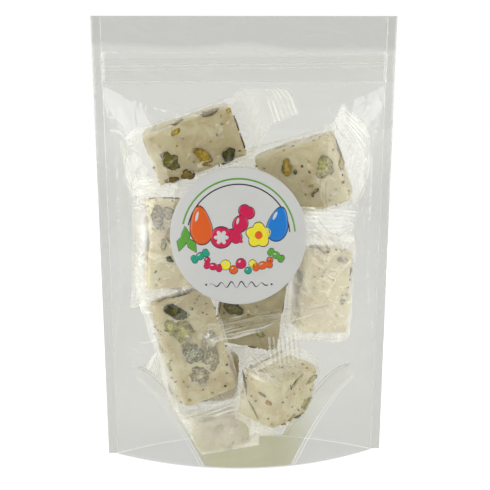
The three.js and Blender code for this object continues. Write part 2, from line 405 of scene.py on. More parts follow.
class Tree:
    """Adds nodes to a node tree and links or sets their inputs."""

    def __init__(self, tree):
        self.tree = tree

    def add(self, kind, inputs=None, **settings):
        node = self.tree.nodes.new(kind)
        for name, value in settings.items():
            setattr(node, name, value)
        for name, value in (inputs or {}).items():
            self.put(node.inputs[name], value)
        return node

    def put(self, socket, value):
        if isinstance(value, bpy.types.NodeSocket):
            self.tree.links.new(value, socket)
        else:
            socket.default_value = value

    def math(self, operation, first, second=0.5, clamp=False):
        node = self.add("ShaderNodeMath", {0: first, 1: second}, operation=operation)
        node.use_clamp = clamp
        return node.outputs[0]

    def mix_colour(self, factor, a, b, blend="MIX"):
        node = self.add("ShaderNodeMix", data_type="RGBA", blend_type=blend)
        self.put(node.inputs[0], factor)
        self.put(node.inputs[6], a)
        self.put(node.inputs[7], b)
        return node.outputs[2]

    def scale_add(self, value, factor, offset):
        inputs = {0: value, 1: factor, 2: offset}
        return self.add("ShaderNodeMath", inputs, operation="MULTIPLY_ADD").outputs[0]

    def ramp(self, value, low, high):
        inputs = {"Value": value, "From Min": low, "From Max": high}
        node = self.add("ShaderNodeMapRange", inputs, interpolation_type="SMOOTHSTEP")
        return node.outputs["Result"]

    def noise(self, vector, scale, detail=3.0, roughness=0.5, distortion=0.0):
        names = ("Vector", "Scale", "Detail", "Roughness", "Distortion")
        values = (vector, scale, detail, roughness, distortion)
        return self.add("ShaderNodeTexNoise", dict(zip(names, values))).outputs["Fac"]

    def attribute(self, name, output="Color"):
        return self.add("ShaderNodeAttribute", attribute_name=name).outputs[output]

    def own_place(self):
        return self.add("ShaderNodeTexCoord").outputs["Object"]

    def bump(self, height, strength, distance):
        inputs = {"Height": height, "Strength": strength, "Distance": distance}
        return self.add("ShaderNodeBump", inputs).outputs[0]

    def mix_shader(self, factor, first, second):
        return self.add("ShaderNodeMixShader", {0: factor, 1: first, 2: second}).outputs[0]

    def paint(self, output, colour, roughness, inputs):
        """Links a solid surface of that colour and finish to a material's output."""
        inputs = {"Base Color": colour, "Roughness": roughness, **inputs}
        shader = self.add("ShaderNodeBsdfPrincipled", inputs)
        self.put(output.inputs["Surface"], shader.outputs[0])


def rgba(colour, share=1.0):
    """A colour, or that share of it, as a socket holds it."""
    return (*(share * level for level in colour[:3]), 1.0)


def new_material(name):
    """An empty material, its node tree and its output node."""
    material = bpy.data.materials.new(name)
    material.use_nodes = True
    material.node_tree.nodes.clear()
    tree = Tree(material.node_tree)
    output = tree.add("ShaderNodeOutputMaterial")
    return material, tree, output


def film_creases_group():
    """Fine creases of thin film: their height, thin pale lines, thin lines of painted shade, and cloudy
    patches.
    """
    name = "film_creases"
    if name in bpy.data.node_groups:
        return bpy.data.node_groups[name]
    group = bpy.data.node_groups.new(name, "ShaderNodeTree")
    group.interface.new_socket("Scale", in_out="INPUT", socket_type="NodeSocketFloat")
    for output in ("Height", "Pale Lines", "Dark Lines", "Cloud"):
        group.interface.new_socket(output, in_out="OUTPUT", socket_type="NodeSocketFloat")
    tree = Tree(group)
    source = tree.add("NodeGroupInput")
    sink = tree.add("NodeGroupOutput")
    scaled = tree.add("ShaderNodeVectorMath", {0: tree.own_place()}, operation="SCALE")
    tree.put(scaled.inputs["Scale"], source.outputs["Scale"])
    place = scaled.outputs[0]
    cloud = tree.ramp(tree.noise(place, 24.0, 3.0, 0.6), 0.42, 0.66)

    def creases(scale, distortion, sharpness):
        soft = tree.noise(place, scale, 2.0, 0.5, distortion)
        off = tree.math("ABSOLUTE", tree.math("SUBTRACT", soft, 0.5))
        return tree.math("POWER", tree.math("SUBTRACT", 1.0, off), sharpness)

    broad = creases(60.0, 0.9, 18.0)
    narrow = creases(130.0, 1.6, 46.0)
    dark = creases(95.0, 1.3, 60.0)
    height = tree.math("ADD", broad, tree.math("MULTIPLY", narrow, 0.4))
    tree.put(sink.inputs["Height"], height)
    tree.put(sink.inputs["Pale Lines"], tree.math("MULTIPLY", narrow, cloud))
    tree.put(sink.inputs["Dark Lines"], tree.math("MULTIPLY", dark, cloud))
    tree.put(sink.inputs["Cloud"], cloud)
    return group


class Film(NamedTuple):
    """How one face of a film looks."""

    tint: tuple
    mirror: float  # share of light that it reflects, seen straight on
    haze: float
    roughness: float
    crease_scale: float
    crease_depth: float
    crease_lines: float
    edge: float = 0.7  # share more that it reflects, seen edge-on
    rim: float = 0.0  # haze more, seen edge-on


MIST_PAINTED_GLOW = 0.28  # painted glow of the haze: emission that stands in for the white backdrop's light it scatters forward
MIST_WHITE = (0.95, 0.95, 0.93, 1.0)
MIST_LIGHT = (1.0, 1.0, 0.97, 1.0)
CREASE_SHADE = (0.32, 0.31, 0.27, 1.0)
RIM_POWER = 3.0
EDGE_POWER = 5.0


def film_material(name, film):
    """Clear film: what is behind shows through, with gloss, haze and creases.

    Each point's "clear" colour multiplies the tint, and its "milky" adds haze, which also glows a little: a
    painted glow for the backdrop's light that haze scatters forward.
    """
    material, tree, output = new_material(name)
    creases = tree.add("ShaderNodeGroup")
    creases.node_tree = film_creases_group()
    creases.inputs["Scale"].default_value = film.crease_scale
    bump = tree.bump(creases.outputs["Height"], 1.0, film.crease_depth)
    tint = tree.mix_colour(1.0, rgba(film.tint), tree.attribute("clear"), "MULTIPLY")
    # Painted shade: the tint darkens towards CREASE_SHADE along thin crease lines.
    darker = tree.math("MULTIPLY", creases.outputs["Dark Lines"], film.crease_lines)
    tint = tree.mix_colour(darker, tint, CREASE_SHADE)
    through = tree.add("ShaderNodeBsdfTransparent", {"Color": tint}).outputs[0]
    scatter = tree.add("ShaderNodeBsdfDiffuse", {"Color": MIST_WHITE}).outputs[0]
    # Painted glow: the haze emits a little light of its own.
    glow = tree.add("ShaderNodeEmission", {"Color": MIST_LIGHT, "Strength": MIST_PAINTED_GLOW}).outputs[0]
    haze_and_painted_glow = tree.add("ShaderNodeAddShader", {0: scatter, 1: glow}).outputs[0]
    facing = tree.add("ShaderNodeLayerWeight", {"Blend": 0.5, "Normal": bump}).outputs["Facing"]
    share = tree.math("MULTIPLY", creases.outputs["Cloud"], film.haze)
    pale = tree.math("MULTIPLY", creases.outputs["Pale Lines"], film.crease_lines)
    rim = tree.math("MULTIPLY", tree.math("POWER", facing, RIM_POWER), film.rim)
    share = tree.math("ADD", tree.math("ADD", share, pale), rim)
    share = tree.math("ADD", share, tree.attribute("milky", "Fac"), clamp=True)
    inputs = {"Color": (1.0, 1.0, 1.0, 1.0), "Roughness": film.roughness, "Normal": bump}
    gloss = tree.add("ShaderNodeBsdfAnisotropic", inputs).outputs[0]
    mirror = tree.scale_add(tree.math("POWER", facing, EDGE_POWER), film.edge, film.mirror)
    surface = tree.mix_shader(mirror, tree.mix_shader(share, through, haze_and_painted_glow), gloss)
    tree.put(output.inputs["Surface"], surface)
    return material


# ---------------------------------------------------------------- settings


def colour_property(name, description, default):
    return FloatVectorProperty(
        name=name, description=description, default=default, subtype="COLOR", min=0, max=1
    )


def number_property(name, description, default, unit="NONE"):
    return FloatProperty(name=name, description=description, default=default, unit=unit)


def length_property(name, description, default):
    return FloatProperty(
        name=name, description=description, default=default * MM, unit="LENGTH", precision=5
    )


class FilmSettings(bpy.types.PropertyGroup):
    thickness: length_property("Thickness", "Thickness of the pouch's film", 0.12)
    tint: colour_property("Tint", "Light that one face of the film lets through", (0.9225, 0.9235, 0.912))
    haze: number_property("Haze", "Cloudiness of one face", 0.003)
    roughness: number_property("Roughness", "Blur of reflections", 0.08)


class LabelSettings(bpy.types.PropertyGroup):
    paper: colour_property("Paper", "Coated paper of the label", (0.475, 0.475, 0.455))
    green: colour_property("Green", "Outer ring and leaves", (0.09, 0.30, 0.03))
    dark: colour_property("Dark", "Inner ring and outlines", (0.02, 0.022, 0.03))
    orange: colour_property("Orange", "Orange sweets", (0.60, 0.09, 0.005))
    crimson: colour_property("Crimson", "Crimson sweets", (0.50, 0.005, 0.06))
    yellow: colour_property("Yellow", "Yellow sweets", (0.68, 0.60, 0.02))
    blue: colour_property("Blue", "Blue sweets", (0.005, 0.16, 0.50))
    teal: colour_property("Teal", "Teal sweets", (0.01, 0.28, 0.17))


class NougatSettings(bpy.types.PropertyGroup):
    pale: colour_property("Pale", "Nougat where it is cut clean", (0.865, 0.80, 0.55))
    deep: colour_property("Deep", "Nougat between the pale parts", (0.70, 0.585, 0.345))
    wrap_tint: colour_property("Wrapper tint", "Light one wrapper face lets through", (0.985, 0.984, 0.975))
    wrap_haze: number_property("Wrapper haze", "Cloudiness of a face", 0.003)
    wrap_slack: length_property("Wrapper slack", "Loose film round a block", 1.1)
    crimp_pitch: length_property("Crimp pitch", "Between ribs of a crimped end", 2.2)


class StudioSettings(bpy.types.PropertyGroup):
    key: number_property("Key", "Power of the left softbox", 8.5, "POWER")
    fill: number_property("Fill", "Power of the right softbox", 7.2, "POWER")
    top: number_property("Top", "Power of the top softbox", 6.0, "POWER")
    front: number_property("Front", "Power of the front light", 0.5, "POWER")
    ambient: number_property("Ambient", "Strength of the room's light", 0.37)
    mirrored: number_property("Mirrored", "Strength of the room in gloss", 0.05)
    floor: number_property("Floor", "Glow of the white floor", 0.93)


# ---------------------------------------------------------------- film

HEADER_FROM = 205  # lower edge of the greyer header
HEADER_WANDER = 2.5  # how far that edge strays from its height
HEADER_DIM = 0.035
BAND_DIM = 0.01
LOW_DIM = 0.10  # of the back panel, low down
LOW_DIM_HEIGHTS = (120, 165)  # where that begins to fade and where it ends
# Light through the gusset, as a share of its tint. The middle's warm tint is a painted reflection of the
# nougat.
GUSSET_MIDDLE_PAINTED_REFLECTION = np.array([0.98, 0.97, 0.84])
GUSSET_SIDES = np.array([1.04, 1.04, 1.02])
GUSSET_TIPS = np.array([1.08, 1.08, 1.08])
GUSSET_LIFT = 0.3
GUSSET_SAG = 0.8
GUSSET_HAZE = 0.01
SEAL_HAZE = 0.16
SEAL_LINE = (0.32, 0.14)  # width and height of the gusset seals' raised edges
SIDE_LINE = (0.3, 0.1)  # and of the side seals'
SEAL_LINE_INSETS = (0, 2.0)
LINE_LIFT = 0.03
FILM_LEAST = 0.015  # of the inner face, from the middle sheet
FRONT_GRID = (131, 191)  # columns and rows
BACK_GRID = (105, 153)
GUSSET_GRID = (110, 40)
GUSSET_INSET = 0.2


def panel_clear(x, z, side):
    """How much light a panel lets through, 1 where it is clearest."""
    place = np.stack([x, np.zeros_like(x), np.zeros_like(x)], -1)
    boundary = HEADER_FROM + HEADER_WANDER * lattice_noise(place, 30, 31)
    header = smooth(z, boundary - 2, boundary + 1.5)
    band = smooth(np.abs(x) - half_width(z) + SEAL_BAND, -0.3, 0.3)
    low = 1 - smooth(z, *LOW_DIM_HEIGHTS)
    return 1 - HEADER_DIM * header - BAND_DIM * band - (LOW_DIM * low if side > 0 else 0)


def panel(name, side, grid, material, thickness):
    """The front (side -1) or back (side 1) panel, as one closed sheet."""
    columns, rows = grid
    u = np.linspace(-1, 1, columns)
    z = np.linspace(0, HEIGHT, rows)
    x = u[None, :] * half_width(z)[:, None]
    z = np.repeat(z[:, None], columns, axis=1)
    if side > 0:
        x = x[:, ::-1]
    y = panel_y(x, z, side)
    inner = wave(x, z) + side * np.maximum(side * (y - wave(x, z)) - thickness, FILM_LEAST)
    sheet = closed_sheet(np.stack([x, y, z], -1), np.stack([x, inner, z], -1))
    piece = add_piece(name, sheet, material)
    set_film(piece, np.tile(panel_clear(x, z, side).ravel(), 2), 0)
    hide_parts("pouch")


def gusset_grid(lift):
    """One face of the gusset, from the front panel over its fold to the back one."""
    columns, rows = GUSSET_GRID
    x = np.linspace(-GUSSET_END, GUSSET_END, columns)
    t = np.linspace(-1, 1, rows)[:, None]
    x = np.repeat(x[None, :], rows, axis=0)
    seal = seal_height(x)
    front = panel_y(x, seal, -1) + GUSSET_INSET
    back = panel_y(x, seal, 1) - GUSSET_INSET
    y = np.where(t < 0, mix(0, front, -t), mix(0, back, t))
    z = mix(seal, fold_height(x), np.sin((1 - np.abs(t)) * math.pi / 2))
    place = np.stack([x, y, z], -1)
    sag = 0.5 + 0.5 * lattice_noise(place, 13, 41)
    z = np.maximum(z - GUSSET_SAG * sag * smooth(z, 1, 8) * (1 - t**2), 0) + lift
    return np.stack([x, y, z], -1)


def gusset_clear(grid):
    """The gusset's middle is tinted warm: a painted reflection of the nougat that stands on it."""
    x, _, z = grid.reshape(-1, 3).T
    middle = (1 - smooth(np.abs(x), 14, 44)) * (1 - smooth(z, 4, 30))
    tips = smooth(np.abs(x), 24, 40)
    sides = mix(GUSSET_SIDES, GUSSET_TIPS, tips[:, None])
    return mix(sides, GUSSET_MIDDLE_PAINTED_REFLECTION, middle[:, None])


def line_frames(x, z, side):
    """Path on a panel with its directions across the line and out of the film."""
    path = np.stack([x, panel_y(x, z, side), z], -1)
    along = np.gradient(path, axis=0)
    along /= np.linalg.norm(along, axis=1)[:, None]
    step = 0.6
    slope_x = (panel_y(x + step, z, side) - panel_y(x - step, z, side)) / (2 * step)
    slope_z = (panel_y(x, z + step, side) - panel_y(x, np.maximum(z - step, 0), side)) / (2 * step)
    out = np.stack([-slope_x, np.ones_like(x), -slope_z], -1) * side
    out /= np.linalg.norm(out, axis=1)[:, None]
    across = np.cross(along, out)
    across /= np.linalg.norm(across, axis=1)[:, None]
    return path, across, out


def panel_line(x, z, side, width, height):
    """A fine raised line along a panel's outer face."""
    path, across, out = line_frames(x, z, side)
    return ribbon(path + out * LINE_LIFT, across, out, width, height)


def seal_lines(side):
    """Raised edges of the side seals and of the gusset's curved seals."""
    lines = []
    for end in (-1, 1):
        across = np.linspace(GUSSET_SEAL_IN + 0.5, GUSSET_SEAL_OUT, 60)
        for inset in SEAL_LINE_INSETS:
            x = end * across
            z = seal_height(np.maximum(across - inset, GUSSET_SEAL_IN + 0.2))
            lines.append(panel_line(x, z, side, *SEAL_LINE))
        z = np.linspace(0.6, HEIGHT - 0.6, 150)
        lines.append(panel_line(end * (half_width(z) - SEAL_BAND), z, side, *SIDE_LINE))
    return lines


class POUCH_OT_film(bpy.types.Operator):
    """Builds the pouch's two panels, its gusset and the raised edges of its seals"""

    bl_idname = "nougat_pouch.film"
    bl_label = "Film"

    def execute(self, context):
        settings = context.scene.pouch_film
        thickness = settings.thickness / MM
        look = Film(
            settings.tint, mirror=0.024, haze=settings.haze, roughness=settings.roughness,
            crease_scale=0.3, crease_depth=0.0003, crease_lines=0.02,
        )
        film = film_material("clear_film", look)
        panel("panel_front", -1, FRONT_GRID, film, thickness)
        panel("panel_back", 1, BACK_GRID, film, thickness)
        dull = look._replace(mirror=0.012, roughness=0.15, crease_depth=0.0002, edge=0.05)
        fold = film_material("gusset_film", dull)
        grids = [gusset_grid(lift) for lift in (GUSSET_LIFT + thickness, GUSSET_LIFT)]
        gusset = add_piece("gusset", closed_sheet(*grids), fold)
        set_film(gusset, np.tile(gusset_clear(grids[0]), (2, 1)), GUSSET_HAZE)
        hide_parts("pouch")
        welded = Film(
            (0.99, 0.99, 0.985), mirror=0.06, haze=0.1, roughness=0.1,
            crease_scale=0.5, crease_depth=0.0001, crease_lines=0, edge=0.1,
        )
        edge = film_material("seal_edge", welded)
        for name, side in (("seal_lines_front", -1), ("seal_lines_back", 1)):
            lines = add_piece(name, join_meshes(seal_lines(side)), edge)
            set_film(lines, 1, SEAL_HAZE)
            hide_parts("pouch")
        return {"FINISHED"}


# ---------------------------------------------------------------- zip

ZIP_SKEW = 0.0125
ZIP_RIB_PITCH = 3.5
ZIP_RIB_HALF = 0.55
ZIP_RIB_HEIGHT = 0.6
ZIP_FACES = (1.25, 0.85)  # outer and inner face of a flange, from the middle
ZIP_HAZE = 0.1
ZIP_EDGE_GAP = 0.4  # above and below a flange
ZIP_END_GAP = 0.8
ZIP_RIB_SHIFT = 0.6  # lets the ribs of the two strips pass each other
ZIP_GRID = (120, 48)


def zip_strip(side):
    """One strip: a flat flange with two rounded ribs, following the film's ripple."""
    columns, rows = ZIP_GRID
    flange_half = (ZIP_TOP - ZIP_BOTTOM) / 2 - ZIP_EDGE_GAP
    reach = half_width(ZIP_MIDDLE) - ZIP_END_GAP
    x, v = np.meshgrid(
        np.linspace(-reach, reach, columns), np.linspace(-flange_half, flange_half, rows)
    )
    rib = np.zeros_like(v)
    for row in (-1, 1):
        offset = (v - row * ZIP_RIB_PITCH / 2 - side * ZIP_RIB_SHIFT) / ZIP_RIB_HALF
        rib += np.sqrt(np.clip(1 - offset**2, 0, 1))
    z = ZIP_MIDDLE + v + ZIP_SKEW * (x - half_width(ZIP_MIDDLE)) * (flange_half / 7)
    outer = wave(x, z) + side * ZIP_FACES[0]
    inner = wave(x, z) + side * (ZIP_FACES[1] - ZIP_RIB_HEIGHT * rib)
    grids = [np.stack([x, outer, z], -1), np.stack([x, inner, z], -1)]
    if side > 0:
        grids = [g[:, ::-1] for g in grids]
    return closed_sheet(*grids)


ZIP_LINE_GAP = 5.5  # from the end of a line to the pouch's edge
# Raised lines: height above the zip's middle, skew, width and how far each stands out.
# The two ribs come first. The flange's edges skew the other way and follow the ripple.
ZIP_LINES = (
    (1.9, 1, 0.8, 0.16),
    (0.1, 1, 0.8, 0.16),
    (7.4, -0.3, 0.6, 0.1),
    (-6.9, -0.3, 0.6, 0.1),
)


def zip_lines(side):
    """Fine raised lines where the zip's ribs and flange edges press the film."""
    lines = []
    reach = half_width(ZIP_MIDDLE) - ZIP_LINE_GAP
    x = np.linspace(-reach, reach, 160)
    for height, skew, width, proud in ZIP_LINES:
        z = ZIP_MIDDLE + height + ZIP_SKEW * x * skew
        if skew < 0:
            z = z + 0.5 * wave(x, z)
        lines.append(panel_line(x, z, side, width, proud))
    return lines


class POUCH_OT_zip(bpy.types.Operator):
    """Builds the two strips of the press-to-close zip"""

    bl_idname = "nougat_pouch.zip"
    bl_label = "Zip"

    def execute(self, context):
        flange = Film(
            (0.995, 0.995, 0.992), mirror=0.008, haze=0.01, roughness=0.12,
            crease_scale=0.2, crease_depth=0.0002, crease_lines=0, edge=0.25,
        )
        pressed = Film(
            (0.975, 0.975, 0.97), mirror=0.03, haze=0, roughness=0.15,
            crease_scale=0.5, crease_depth=0.0001, crease_lines=0, edge=0.2,
        )
        strip = film_material("zip_strip", flange)
        crest = film_material("zip_crest", pressed)
        for name, side in (("zip_front_strip", -1), ("zip_back_strip", 1)):
            piece = add_piece(name.replace("_strip", "_track"), zip_strip(side), strip)
            set_film(piece, 1, 0)
            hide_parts(name)
            lines = join_meshes(zip_lines(side))
            piece = add_piece(name.replace("_strip", "_ribs"), lines, crest)
            set_film(piece, 1, ZIP_HAZE)
            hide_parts(name)
        return {"FINISHED"}


# ---------------------------------------------------------------- label

INKS = ("green", "dark", "orange", "crimson", "yellow", "blue", "teal")
LABEL_LIFT = 0.05
PAPER_TOP = 0.4
PRINT_STEP = 0.05
PRINT_GAP = 0.005
DISC_GRID = (40, 256)  # rings and sectors
SHAPE_GRID = (5, 48)
MARK_GRID = (2, 24)
FLOURISH = -23.4  # the wavy line's place below the label's middle


def on_label(a, b, lift):
    """A point of the label's own plane, a across and b up, on the bulging front."""
    x = LABEL_X + np.asarray(a, float)
    z = LABEL_Z + np.asarray(b, float)
    return np.stack([x, panel_y(x, z, -1) - lift, z], -1)


def patch(a, b, outline, low, high, grid):
    """A flat shape round (a, b), between two lifts; outline(angle) is its radius."""
    rings, sectors = grid
    angles = np.arange(sectors) * 2 * math.pi / sectors
    radius = outline(angles)
    layers = []
    for lift in (high, low):
        for ring in range(1, rings + 1):
            share = radius * ring / rings
            layers.append(on_label(a + share * np.cos(angles), b + share * np.sin(angles), lift))
    middle = [on_label(a, b, high), on_label(a, b, low)]
    points = np.concatenate(layers + [np.stack(middle)])
    index = np.arange(2 * rings * sectors).reshape(2, rings, sectors)
    after = np.roll(index, -1, axis=2)
    none = np.full(sectors, -1)
    tip = none + len(points) - 1
    top = np.stack([index[0, :-1], index[0, 1:], after[0, 1:], after[0, :-1]], -1)
    under = np.stack([index[1, :-1], after[1, :-1], after[1, 1:], index[1, 1:]], -1)
    rim = np.stack([index[0, -1], index[1, -1], after[1, -1], after[0, -1]], -1)
    fans = [
        np.stack([tip, index[0, 0], after[0, 0], none], -1),
        np.stack([tip + 1, after[1, 0], index[1, 0], none], -1),
    ]
    return Mesh(points, np.concatenate([top.reshape(-1, 4), under.reshape(-1, 4), rim, *fans]))


def printed(a, b, outline, level, grid=SHAPE_GRID):
    """A printed shape; a higher level lies on a lower one."""
    high = PAPER_TOP + PRINT_STEP * level
    return patch(a, b, outline, high - PRINT_STEP + PRINT_GAP, high, grid)


def stroke(a, b, width):
    """A printed line along points of the label's plane."""
    high = PAPER_TOP + PRINT_STEP
    run = np.stack([np.gradient(a), np.gradient(b)])
    run /= np.hypot(*run)
    section = []
    low = PAPER_TOP + PRINT_GAP
    for side, lift in ((-1, high), (1, high), (1, low), (-1, low)):
        shift = side * width / 2
        section.append(on_label(a - run[1] * shift, b + run[0] * shift, lift))
    points = np.stack(section, axis=1)
    ends = [points[0].mean(0), points[-1].mean(0)]
    points = np.concatenate([points.reshape(-1, 3), ends])
    return Mesh(points, flipped(tube_faces(len(a), len(section))))


def oval(width, height, turn=0.0):
    """An oval, turned by so many degrees."""
    turn = math.radians(turn)

    def outline(angle):
        c, s = np.cos(angle - turn), np.sin(angle - turn)
        return 1 / np.hypot(c / (width / 2), s / (height / 2))

    return outline


def petals(radius, depth, count, turn=0.0):
    """A flower of so many petals, notched by that share of its radius."""
    turn = math.radians(turn)

    def outline(angle):
        return radius * (1 - depth + depth * np.abs(np.cos(count * (angle - turn) / 2)))

    return outline


def leaf(length, width, turn):
    """A leaf with straight sides."""
    turn = math.radians(turn)

    def outline(angle):
        c, s = np.abs(np.cos(angle - turn)), np.abs(np.sin(angle - turn))
        return 1 / (c / (length / 2) + s / (width / 2))

    return outline


def drop(width, height, turn):
    """A jelly drop: broad and round below, narrower above."""
    turn = math.radians(turn)

    def outline(angle):
        c, s = np.cos(angle - turn), np.sin(angle - turn)
        broad = width / 2 * (1 - 0.20 * s)
        return 1 / np.hypot(c / broad, s / (height / 2))

    return outline


def grown(outline, margin):
    """The same outline, that much farther out."""
    return lambda angle: outline(angle) + margin


def label_print():
    """The printed design, as a list of (ink, shape)."""
    shapes = []

    def sweet(ink, a, b, outline, edge=0.4):
        shapes.append(("dark", printed(a, b, grown(outline, edge), 1)))
        shapes.append((ink, printed(a, b, outline, 2)))

    def mark(ink, a, b, outline):
        shapes.append((ink, printed(a, b, outline, 3, MARK_GRID)))

    def wrapped(ink, a, b, radius, turn, edge):
        angle = math.radians(turn)
        for end in (-1, 1):
            reach = end * radius * 1.6
            place = (a + reach * math.cos(angle), b + reach * math.sin(angle))
            sweet(ink, *place, petals(radius * 0.95, 0.35, 2, turn + 90), edge)
        sweet(ink, a, b, oval(2 * radius, 1.7 * radius, turn), edge)
        mark("paper", a - radius * 0.3, b + radius * 0.35, oval(radius * 0.8, radius * 0.28, turn + 15))

    sweet("orange", -18.2, 5.2, drop(10.0, 18.5, 6))
    mark("paper", -20.0, 9.4, oval(5.6, 1.3, 76))
    sweet("crimson", -8.4, -0.6, oval(10.0, 10.0))
    mark("paper", -8.4, -0.6, petals(3.7, 0.45, 6))
    mark("crimson", 1.2, -2.6, oval(1.5, 1.5))
    wrapped("crimson", 0.8, 5.8, 4.1, 62, 0.35)
    sweet("yellow", 9.6, 0.4, petals(6.1, 0.26, 5, 18))
    mark("orange", 9.6, 0.4, oval(3.8, 3.8))
    sweet("blue", 19.0, 5.6, drop(9.6, 16.5, -14))
    mark("paper", 17.6, 9.6, oval(4.6, 1.3, 62))
    for ink, a, b, radius, turn in (
        ("teal", -18.6, -9.6, 2.0, 30),
        ("crimson", -12.4, -14.6, 1.9, -14),
        ("orange", 11.4, -14.2, 2.1, 12),
        ("green", 18.0, -9.4, 1.9, -34),
    ):
        wrapped(ink, a, b, radius, turn, 0.22)
    for ink, a, b, size in (
        ("yellow", -6.4, -13.8, 4.6),
        ("orange", -2.6, -16.2, 3.9),
        ("crimson", 1.0, -13.2, 4.8),
        ("teal", 4.4, -16.6, 3.2),
        ("yellow", 6.6, -13.2, 3.4),
        ("crimson", -15.2, -11.4, 2.6),
        ("orange", 15.0, -11.6, 2.8),
    ):
        sweet(ink, a, b, oval(size, size), 0.25)
        mark("paper", a - size * 0.14, b + size * 0.2, oval(size * 0.3, size * 0.16, 40))
    for a, b, turn in ((-25.4, 0.4, 96), (-27.6, -3.4, 74), (-22.6, -4.2, 122)):
        sweet("green", a, b, leaf(9.0, 4.4, turn), 0.2)
    arc = np.radians(np.linspace(4, 168, 160))
    for ink, radius, width in (("green", 27.3, 0.8), ("dark", 24.7, 0.6)):
        line = stroke(radius * np.cos(arc), radius * np.sin(arc), np.full_like(arc, width))
        shapes.append((ink, line))
    a = np.linspace(-14, 14, 220)
    swell = 0.34 + 0.22 * np.sin(a * 1.1)
    b = FLOURISH + 1.5 * np.sin(a * 1.3) * (1 - (a / 16) ** 2)
    shapes.append(("dark", stroke(a, b, swell)))
    for end in (-1, 1):
        mark("dark", end * 15.8, FLOURISH, oval(0.9, 0.9))
    return shapes


def paper_material(colour):
    """Satin coated paper with a faint mottle and a pressed grain."""
    material, tree, output = new_material("label_paper")
    place = tree.own_place()
    mottle = tree.ramp(tree.noise(place, 55.0), 0.3, 0.7)
    base = tree.mix_colour(mottle, rgba(colour, 0.955), rgba(colour))
    bump = tree.bump(tree.noise(place, 900.0, 2.0), 0.25, 0.00004)
    tree.paint(output, base, 0.42, {"Normal": bump, "Specular IOR Level": 0.4})
    return material


def ink_material(name, colour):
    """Printed ink: an even field with a faint screen and a soft gloss."""
    material, tree, output = new_material(f"ink_{name}")
    screen = tree.noise(tree.own_place(), 700.0, 2.0)
    base = tree.mix_colour(screen, rgba(colour, 0.86), rgba(colour))
    tree.paint(output, base, 0.35, {})
    return material


class POUCH_OT_label(bpy.types.Operator):
    """Builds the round paper label and its printed design"""

    bl_idname = "nougat_pouch.label"
    bl_label = "Label"

    def execute(self, context):
        settings = context.scene.pouch_label
        round_edge = oval(2 * LABEL_RADIUS, 2 * LABEL_RADIUS)
        disc = patch(0, 0, round_edge, LABEL_LIFT, PAPER_TOP, DISC_GRID)
        paper = paper_material(settings.paper)
        piece = add_piece("label_disc", disc, paper)
        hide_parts("label")
        shapes = label_print()
        for name in ("paper", *INKS):
            material = paper if name == "paper" else ink_material(name, getattr(settings, name))
            parts = [shape for ink, shape in shapes if ink == name]
            add_piece(f"print_{name}", join_meshes(parts), material)
        return {"FINISHED"}


# ---------------------------------------------------------------- nougat


class Nut(NamedTuple):
    """A nut cut through by a face of its block, or lying in it."""

    face: str
    along: float
    across: float
    length: float
    width: float
    turn: float
    kind: str


class End(NamedTuple):
    """A wrapper's end: how it bends back and sweeps up, in degrees, and its lengths."""

    bend: float
    sweep: float
    gather: float = 9
    crimp: float = 10
    rise: float = 0  # how far the end shifts up beside its own line


class Block(NamedTuple):
    """A block of nougat: its middle, size, pose in degrees, nuts and wrapper."""

    name: str
    centre: tuple
    size: tuple  # length, width, thickness
    roll: float
    yaw: float
    lean: float
    nuts: tuple
    ends: tuple
    loose: tuple  # spare film beside the block, at its lower and upper edge
    haze: float = 0.0  # more cloudiness where its wrapper clings
    lumps: float = 1.0  # how far its nuts and its surface stand out
    tone: float = 0.8  # painted light and shade: how much lighter or darker its nougat is painted for the light it gets
